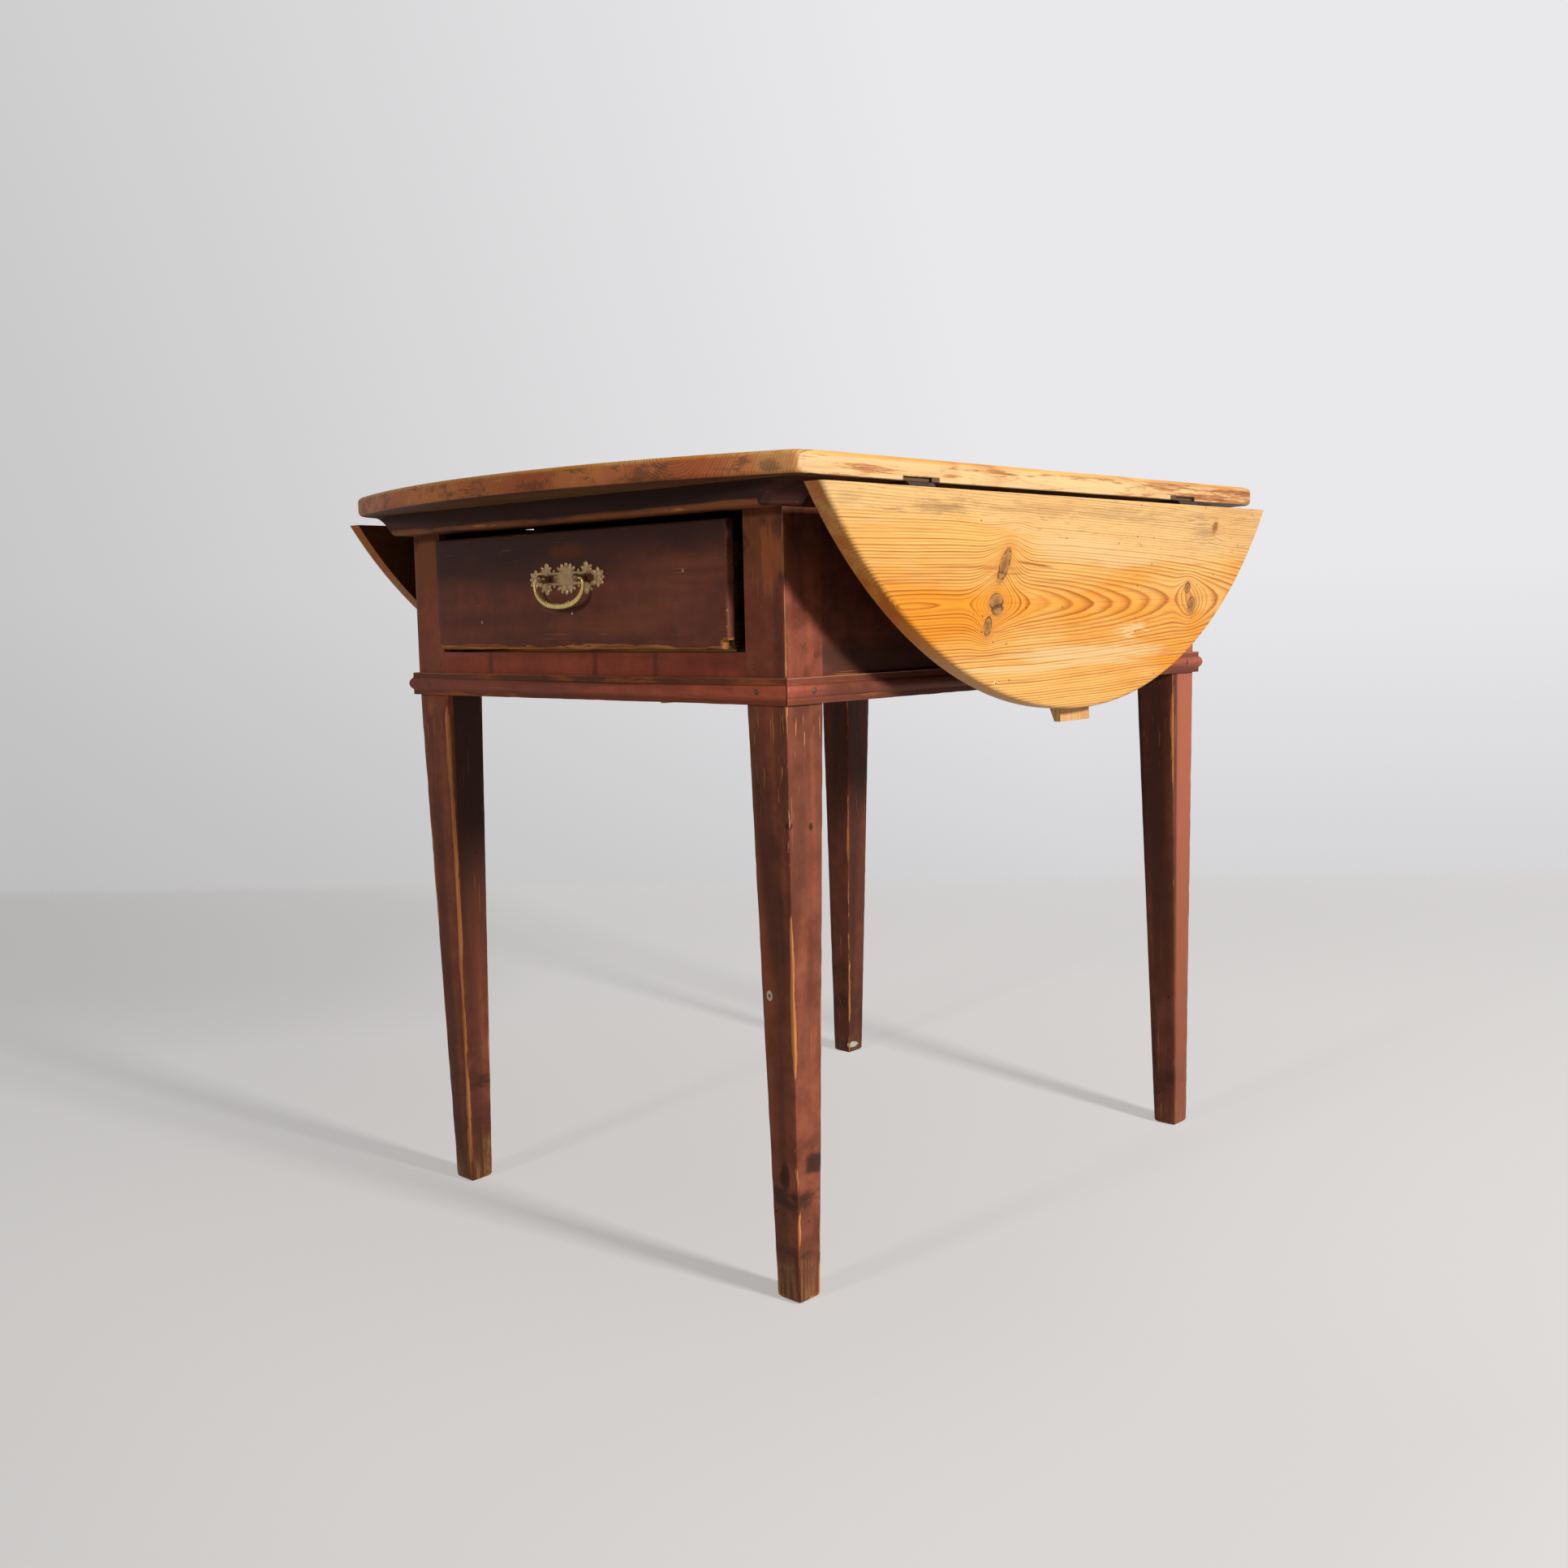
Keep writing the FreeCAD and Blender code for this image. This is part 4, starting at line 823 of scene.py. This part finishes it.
# Rails between the posts
RAIL_ROUND = 0.35 * MM
RAIL_RIM = 8 * MM
for node, axis, finish in (("side_rail_right", 1, "side_rail"), ("side_rail_left", 1, "side_rail"),
                           ("front_rail", 0, "end_rail"), ("rear_rail", 0, "end_rail")):
    low, high = corners(node)
    low[axis], high[axis] = -SHOULDERS[axis], SHOULDERS[axis]
    bm = block(low, high)
    long_edges = [edge for edge in bm.edges if runs_along(edge, axis)]
    lines = lines_of([edge for edge in long_edges if middle(edge).z > high.z - NEAR])
    bevel(bm, [edge for edge in bm.edges if edge not in long_edges], RAIL_ROUND)
    inset_wide(bm, RAIL_RIM, WIDE_FACE)
    wear_arrises(bm, lines)
    piece("painted_" + node, bm, finish, node)

# Mouldings with rubbed edges
MOULDING_ROUND = 0.7 * MM
LONG_EDGE = 0.2
for strip in ENDS + SIDES:
    node = "moulding_" + strip
    axis = 0 if strip in ENDS else 1
    low, high = corners(node)
    bm = node_copy(node)
    worn = [edge for edge in bm.edges if sharp(edge) and runs_along(edge, axis)
            and (middle(edge) - (low + high) / 2).length > MM and edge.calc_length() > LONG_EDGE]
    lines = lines_of(worn)
    bevel(bm, worn, MOULDING_ROUND)
    slices(bm, axis, low[axis], high[axis], STEP)
    wear_arrises(bm, lines, rounding=0.5 * MM, depth=0.4 * MM, seed=11.0 + axis)
    piece("worn_" + node, bm, "side_moulding" if axis else "end_moulding", node, angle=30)

# Battens under the top, worn along the rounded lower front edge
BATTEN_STEP = 16 * MM
WORN_HALF = 272 * MM
for end in ENDS:
    node = "batten_" + end
    low, high = corners(node)
    front_y = low.y if end == "front" else high.y
    bm = node_copy(node)
    slices(bm, 0, low.x, high.x, BATTEN_STEP)
    wear_arrises(bm, [(Vector((-WORN_HALF, front_y, low.z)), Vector((WORN_HALF, front_y, low.z)), 0.0)])
    piece("worn_" + node, bm, "batten", node)

# Peg heads, a little proud of the posts; a head's axis is the one that it faces along
PEG_RADIUS = 3 * MM
PEG_LENGTH = 1.2 * MM
PEG_ROUND = 0.4 * MM
PEG_FROM_SHOULDER = 8 * MM
PEG_RISES = (43 * MM, 33 * MM)
bm = bmesh.new()
low, high = corners("frame_pegs")
for x_sign, y_sign, axis in product(SIGNS, SIGNS, (0, 1)):
    spot = [high.x, high.y]
    spot[1 - axis] = SHOULDERS[1 - axis] + PEG_FROM_SHOULDER
    place = Matrix.Translation((x_sign * spot[0], y_sign * spot[1], RAIL_BOTTOM + PEG_RISES[axis]))
    turn = Matrix.Rotation(math.radians(90), 4, "YX"[axis])
    made = bmesh.ops.create_cone(bm, cap_ends=True, segments=20, radius1=PEG_RADIUS, radius2=PEG_RADIUS,
                                 depth=PEG_LENGTH, matrix=place @ turn)
    bevel(bm, [edge for edge in bm.edges if edge.verts[0] in made["verts"] and sharp(edge, 1.0)], PEG_ROUND)
wear_arrises(bm, [])
piece("peg_heads", bm, "leg", "frame_pegs")

# Nail heads on the mouldings
NAIL_FROM_CORNER = 28 * MM
HEAD_RADIUS = 2.8 * MM
HEAD_RISE = 0.8 * MM
bm = bmesh.new()
low, high = corners("moulding_nails")
for x_sign, y_sign, axis in product(SIGNS, SIGNS, (0, 1)):
    spot = [POST_CORNER[0] - NAIL_FROM_CORNER, POST_CORNER[1] - NAIL_FROM_CORNER]
    spot[axis] = high[axis] - HEAD_RISE
    place = Matrix.Translation((x_sign * spot[0], y_sign * spot[1], (low.z + high.z) / 2))
    shape = Vector((HEAD_RADIUS, HEAD_RADIUS, HEAD_RADIUS, 1.0))
    shape[axis] = HEAD_RISE
    form = place @ Matrix.Diagonal(shape)
    bmesh.ops.create_uvsphere(bm, u_segments=14, v_segments=8, radius=1.0, matrix=form)
piece("nail_heads", bm, "nail", "moulding_nails")

# Top boards with bowed ends and a rounded rim
TOP_END = corners("top_board_middle")[1].y
SIDE_EDGE = corners("top_board_right")[1].x
BOW = TOP_END - corners("leaf_left")[1].y - 8 * MM
BOW_RADIUS = (SIDE_EDGE ** 2 + BOW ** 2) / (2 * BOW)
BOW_STEP = 40 * MM
ROUNDED_CORNER = (28 * MM, 8)
SMALL_CORNER = (6 * MM, 3)
END_ROUND = 5 * MM
SIDE_ROUND = 2 * MM
NOTCH_DEPTH = 3 * MM
NOTCH_HEIGHT = 4 * MM
NOTCH_ROOM = MM
BY_END = 0.3


def bowed_end(x):
    return TOP_END - BOW_RADIUS + math.sqrt(BOW_RADIUS ** 2 - x ** 2)


def notch(bm, outer, y_low, y_high, bottom):
    """Lets a hinge into the lower edge of a board's side."""
    inner = outer - math.copysign(NOTCH_DEPTH, outer)
    ceiling = bottom + NOTCH_HEIGHT
    bm.normal_update()
    for axis, place in ((1, y_low), (1, y_high), (2, ceiling), (0, inner)):
        faces = [face for face in bm.faces if face.normal.z < -0.99 or abs(face.normal.x) > 0.99]
        nearby = {part for face in faces for part in face.edges[:] + face.verts[:]}
        cut(bm, axis, place, faces + list(nearby))
    patches = []
    for face in bm.faces:
        centre = face.calc_center_median()
        if abs(centre.x) > abs(inner) and y_low < centre.y < y_high and centre.z < ceiling:
            patches.append(face)
    bmesh.ops.delete(bm, geom=patches, context="FACES")
    lip = [edge for edge in bm.edges if edge.is_boundary and abs(middle(edge).z - ceiling) < NEAR]
    for push in ((inner - outer, 0, 0), (0, 0, bottom - ceiling)):
        moved = points_in(bmesh.ops.extrude_edge_only(bm, edges=lip)["geom"])
        bmesh.ops.translate(bm, vec=push, verts=moved)
        lip = [edge for edge in bm.edges if edge.verts[0] in moved and edge.verts[1] in moved]
    weld(bm)
    bmesh.ops.holes_fill(bm, edges=[edge for edge in bm.edges if edge.is_boundary], sides=4)


for board in ("right", "middle", "left"):
    node = "top_board_" + board
    low, high = corners(node)
    count = round((high.x - low.x) / BOW_STEP)
    steps = [low.x + (high.x - low.x) * number / count for number in range(count + 1)]
    outline = [(x, -bowed_end(x), low.z) for x in steps]
    outline = outline + [(x, bowed_end(x), low.z) for x in reversed(steps)]
    bm = solid(outline, (0, 0, high.z - low.z))
    for wide, deep in product(SIGNS, SIGNS):
        corner = [edge for edge in bm.edges if runs_along(edge, 2)
                  and abs(middle(edge).x - wide * SIDE_EDGE) < NEAR and middle(edge).y * deep > 0]
        bevel(bm, corner, *(ROUNDED_CORNER if wide + deep == -2 else SMALL_CORNER))
    flat = [edge for edge in bm.edges if sharp(edge) and abs(middle(edge).y) > BY_END
            and abs(edge.verts[0].co.z - edge.verts[1].co.z) < NEAR]
    bevel(bm, flat, END_ROUND, 4, held=False)
    side_edges = [edge for edge in bm.edges if sharp(edge) and runs_along(edge, 1)
                  and middle(edge).z > high.z - NEAR and abs(middle(edge).x) > SIDE_EDGE - MM]
    bevel(bm, side_edges, SIDE_ROUND, 3)
    for end in ENDS if board in SIDES else ():
        plate_low, plate_high = corners("hinge_plate_top_%s_%s" % (board, end))
        outer_x = high.x if board == "right" else low.x
        notch(bm, outer_x, plate_low.y - NOTCH_ROOM, plate_high.y + NOTCH_ROOM, low.z)
    piece("scrubbed_" + node, bm, "top_" + board, node)

# Leaves with a softened rim, and their stays
LEAF_ROUND = 4.5 * MM
STAY_ROUND = 0.8 * MM
STAY_LONG = 20 * MM
for side in SIDES:
    node = "leaf_" + side
    low, high = corners(node)
    outer_x = high.x if side == "right" else low.x
    bm = node_copy(node)
    outside = [edge for edge in bm.edges if sharp(edge) and abs(middle(edge).x - outer_x) < NEAR
               and middle(edge).z < high.z - NEAR]
    bevel(bm, outside, LEAF_ROUND, 4)
    piece("scrubbed_" + node, bm, node, node, node + "_body")
    stay = "leaf_stay_" + side
    bm = node_copy(stay)
    bevel(bm, [edge for edge in bm.edges if sharp(edge) and edge.calc_length() > STAY_LONG], STAY_ROUND)
    piece("bare_" + stay, bm, "stay", stay, "stay_%s_body" % side)

# Drawer front with a broken lower corner and a rounded one
CHIP_WIDE = 6.5 * MM
CHIP_TALL = 8 * MM
END_ROOM = 0.25 * MM
FRONT_CORNER = 10 * MM
FRONT_ROUND = 2.2 * MM
FRONT_RIM = 7 * MM
RUBBED_BELOW = 30 * MM
UPRIGHT_SPARED = 3.8 * MM
low, high = corners("drawer_front")
low.x, high.x = low.x + END_ROOM, high.x - END_ROOM
outline = ((low.x, low.z), (high.x - CHIP_WIDE, low.z), (high.x - CHIP_WIDE, low.z + CHIP_TALL),
           (high.x, low.z + CHIP_TALL), (high.x, high.z), (low.x, high.z))
bm = solid([(x, low.y, z) for x, z in outline], (0, high.y - low.y, 0))
round_corner = [edge for edge in bm.edges if runs_along(edge, 1) and middle(edge).x < low.x + MM
                and middle(edge).z < low.z + MM]
bevel(bm, round_corner, FRONT_CORNER, 5)
front_edges = [edge for edge in bm.edges if sharp(edge) and middle(edge).y < low.y + NEAR]
lines = lines_of([edge for edge in front_edges if middle(edge).z < low.z + RUBBED_BELOW])
lines = lines + lines_of([edge for edge in front_edges if runs_along(edge, 2)], UPRIGHT_SPARED)
bevel(bm, front_edges, FRONT_ROUND, 3)
inset_wide(bm, FRONT_RIM, WIDE_FACE)
for axis in (0, 2):
    slices(bm, axis, low[axis], high[axis], STEP)
wear_arrises(bm, lines, rounding=2.0 * MM, depth=0.8 * MM, seed=21.0)
piece("worn_drawer_front", bm, "drawer", "drawer_front", "drawer")

# Bail: a crescent rod, thin at its eyes and thick below, with a row of beads; its numbers are millimetres
bail_low, bail_high = corners("pull_bail")
post_low, post_high = corners("pull_post_left")
PULL_X = (bail_low.x + bail_high.x) / 2
BAIL_Y = (bail_low.y + bail_high.y) / 2
PULL_Z = (post_low.z + post_high.z) / 2
HALF_PATH = ((22.0, 0.0, 1.3), (31.0, 0.0, 1.3), (35.6, -0.5, 1.4), (37.0, -6.0, 1.5), (35.2, -13.5, 1.9),
             (29.4, -20.0, 2.4), (19.6, -25.0, 2.7), (9.0, -26.8, 2.8))
LOWEST = (0.0, -27.2, 2.8)
BEAD_ARC = 36
BEAD_MIDDLE = 9.6
BEAD_ANGLE = 5.5


def rod_mesh(name, path):
    """A smooth rod through points of (x, y, z, radius)."""
    curve = bpy.data.curves.new(name, "CURVE")
    curve.dimensions = "3D"
    curve.bevel_depth = 1.0
    curve.bevel_resolution = 3
    curve.use_fill_caps = True
    spline = curve.splines.new("NURBS")
    spline.points.add(len(path) - 1)
    for point, (x, y, z, radius) in zip(spline.points, path):
        point.co = (x, y, z, 1.0)
        point.radius = radius
    spline.order_u = 4
    spline.use_endpoint_u = True
    spline.resolution_u = 10
    holder = bpy.data.objects.new(name, curve)
    bm = from_mesh(bpy.data.meshes.new_from_object(holder))
    bpy.data.objects.remove(holder)
    weld(bm)
    return bm


path = [(-x, z, radius) for x, z, radius in HALF_PATH] + [LOWEST] + list(reversed(HALF_PATH))
bm = rod_mesh("bail", [(PULL_X + x * MM, BAIL_Y, PULL_Z + z * MM, radius * MM) for x, z, radius in path])
for number in range(-5, 6):
    angle = math.radians(number * BEAD_ANGLE)
    drop = BEAD_MIDDLE - BEAD_ARC * math.cos(angle)
    place = (PULL_X + BEAD_ARC * math.sin(angle) * MM, BAIL_Y - 2.0 * MM, PULL_Z + drop * MM)
    bmesh.ops.create_uvsphere(bm, u_segments=8, v_segments=6, radius=0.8 * MM,
                              matrix=Matrix.Translation(place))
piece("crescent_bail", bm, "bail", "pull_bail", "bail", 60)

# Backplate: leaf lobes about a smooth shield, cast as one; its numbers are millimetres and degrees
PLATE_BACK = corners("pull_backplate")[1].y
LOBE_SINK = 1.9
SHIELD = ((22, 6.6), (15.5, 9.4), (11, 11.4))
CROWN = ((0, 13.2, 3.2, 2.9, 90), (6.2, 12.2, 3.2, 2.5, 62), (11.4, 9.6, 3.0, 2.2, 34),
         (4.5, 9.0, 6.5, 3.4, 0))
CLUSTER = ((31, 7.4, 7.6, 4.6, 0), (29.6, 12.4, 3.9, 3.8, 86), (36.4, 10.6, 3.0, 2.3, 42),
           (24.2, 10.0, 2.6, 2.0, 138), (18.6, 7.6, 1.8, 1.8, 90), (40.0, 5.0, 4.4, 3.0, 0))
TIP = ((48, 2.6, 6.2, 4.4, 20), (46.6, 7.0, 3.4, 2.6, 75), (53.0, 4.8, 2.7, 2.2, 40))
CAST_GRAIN = 0.45 * MM


def lobe(bm, x, z, half_length, half_height, angle=0.0, rise=1.8):
    turn = Matrix.Rotation(math.radians(-angle), 4, "Y")
    size = Matrix.Diagonal((half_length * MM, rise * MM, half_height * MM, 1.0))
    place = Matrix.Translation((PULL_X + x * MM, PLATE_FRONT + LOBE_SINK * MM, PULL_Z + z * MM))
    bmesh.ops.create_uvsphere(bm, u_segments=14, v_segments=10, radius=1.0, matrix=place @ turn @ size)


bm = bmesh.new()
for half_length, half_height in SHIELD:
    lobe(bm, 0, 0, half_length, half_height, rise=1.5)
for tall in (1, -1):
    lobe(bm, 0, 4.8 * tall, 42, 2.2, rise=1.4)
    for wide in (1, -1):
        for x, z, half_length, half_height, angle in CROWN + CLUSTER + TIP:
            lean = angle if wide > 0 else 180 - angle
            lobe(bm, wide * x, tall * z, half_length, half_height, lean * tall)
for wide in (1, -1):
    lobe(bm, wide * 53.8, 0, 3.0, 2.2)
    lobe(bm, wide * 43.5, 0, 3.6, 5.6, rise=1.5)
holder = in_scene("plate_shape", mesh_of("plate_shape", bm))
melt = holder.modifiers.new("cast", "REMESH")
melt.mode = "VOXEL"
melt.voxel_size = CAST_GRAIN
bm = from_mesh(bpy.data.meshes.new_from_object(holder.evaluated_get(bpy.context.evaluated_depsgraph_get())))
bpy.data.objects.remove(holder)
bmesh.ops.smooth_vert(bm, verts=bm.verts, factor=0.5, use_axis_x=True, use_axis_y=True, use_axis_z=True)
for vert in bm.verts:
    vert.co.y = min(vert.co.y, PLATE_BACK)
piece("leaf_backplate", bm, "plate", "pull_backplate", "drawer", 80)

# Finishes for the pieces that keep their shape
KEPT = {"iron": ("hinge_", "stay_bracket", "stay_pin", "stay_screws"),
        "post": ("pull_post", "pull_nuts"),
        "drawer_wood": ("drawer_side", "drawer_back", "drawer_bottom", "drawer_runner", "drawer_guide",
                        "drawer_kickers", "batten_pegs")}
for finish, starts in KEPT.items():
    for node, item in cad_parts.items():
        if node.startswith(starts):
            item.data.materials.clear()
            item.data.materials.append(finishes[finish])

# Floor, which fades into the backdrop
bm = bmesh.new()
bmesh.ops.create_circle(bm, cap_ends=True, segments=96, radius=6.0)
floor = in_scene("studio_floor", mesh_of("studio_floor", bm))
ground = Finish("floor", "pale_floor")
floor.data.materials.append(ground.material)
haze = ground.cloud(2.0).band(0.3, 0.7)
ground.colour = haze.between((0.44, 0.43, 0.42, 1.0), (0.42, 0.41, 0.4, 1.0))
ground.surface(0.8)
AWAY = (-0.64, 0.769, 0.0)


def towards(direction):
    """How far a place on the floor lies in a direction."""
    return ground.arrow("DOT_PRODUCT", ground.place, direction)


before = ground.y.band(-0.15, -0.85, 0.41, 0.475)
beside = ground.x.band(0.5, 1.1, 0.0, -0.06)
behind = towards(AWAY).band(0.5, 1.9, 0.0, -0.065)
leftward = towards((0.731, 0.682, 0.0)).band(-0.3, -1.9, 0.0, -0.05)
glow = towards((-0.050, 0.103, 0.0)) + before + beside + behind + leftward
glow = ground.calc("MINIMUM", ground.calc("MAXIMUM", glow, 0.32), 0.62)
lift = ground.put("Emission", {0: (1.0, 0.972, 0.955, 1.0), 1: glow})
thin_coat = ground.put("BsdfDiffuse", {0: (0.5, 0.488, 0.476, 1.0)})
lit = ground.put("AddShader", {0: lift, 1: thin_coat})
plain = Value(ground, ground.shader.outputs[0])
shown = ground.put("MixShader", {0: ground.sight(), 1: plain, 2: lit})
clear = ground.put("BsdfTransparent", {})
from_middle = ground.arrow("LENGTH", ground.place)
gone = ground.calc("MAXIMUM", towards(AWAY).band(1.79, 1.93), from_middle.band(2.9, 3.5))
blend = ground.put("MixShader", {0: gone, 1: shown, 2: clear})
ground.feed(ground.tree.nodes["Material Output"], {"Surface": blend})

# Backdrop, lighter towards the right, and a faint even light
AMBIENT = 0.07
world = bpy.data.worlds.new("studio")
scene.world = world
world.use_nodes = True
world.node_tree.nodes.clear()
sky = Nodes(world.node_tree)
outlook = sky.put("TexCoord", {}, "Generated")
fade = sky.arrow("DOT_PRODUCT", outlook, (0.731, 0.682, 0.25)).band(-0.45, 0.15, slope="LINEAR")
wall = fade.between((199, 198, 199), (233, 232, 234))
lowest = fade.band(0.0, 1.0, 0.90, 0.81, slope="LINEAR")
dim = sky.put("SeparateXYZ", {0: outlook}, "Z").band(-0.17, 0.02, lowest, slope="LINEAR")
backdrop = sky.put("Background", {"Color": wall, "Strength": dim})
soft = sky.put("Background", {"Color": (0.96, 0.98, 1.0, 1.0), "Strength": AMBIENT})
seen = sky.put("MixShader", {0: sky.sight(), 1: soft, 2: backdrop})
sky.node("OutputWorld", {"Surface": seen})

# Two small soft boxes: the stronger on the leaf's side, the weaker before the drawer
LIT_PLACE = Vector((0.15, -0.15, 0.5))
BOX_SIZE = 0.32


def soft_box(name, place, level):
    lamp = bpy.data.lights.new(name, "AREA")
    lamp.shape = "SQUARE"
    lamp.size = BOX_SIZE
    item = in_scene(name, lamp)
    item.location = place
    aim = LIT_PLACE - item.location
    lamp.energy = level * math.pi ** 2 * aim.length_squared
    item.rotation_euler = aim.to_track_quat("-Z", "Y").to_euler()


soft_box("leaf_side_box", (2.68, -0.12, 1.40), 0.88)
soft_box("drawer_side_box", (0.03, -2.78, 1.40), 0.16)

# Camera
CAMERA_PLACE = (1.21634, -1.37228, 0.62741)
YAW, PITCH, ROLL = (math.radians(angle) for angle in (42.99, 6.11, -1.24))
ahead = Vector((-math.sin(YAW) * math.cos(PITCH), math.cos(YAW) * math.cos(PITCH), -math.sin(PITCH)))
level_right = Vector((math.cos(YAW), math.sin(YAW), 0))
level_up = level_right.cross(ahead)
right = level_right * math.cos(ROLL) + level_up * math.sin(ROLL)
up = level_up * math.cos(ROLL) - level_right * math.sin(ROLL)
lens = bpy.data.cameras.new("photo_camera")
lens.lens = 36.76
lens.sensor_width = 36
lens.sensor_fit = "HORIZONTAL"
camera = in_scene("photo_camera", lens)
turn = Matrix((right, up, -ahead)).transposed().to_4x4()
camera.matrix_world = Matrix.Translation(CAMERA_PLACE) @ turn
scene.camera = camera
scene.view_settings.view_transform = "Standard"
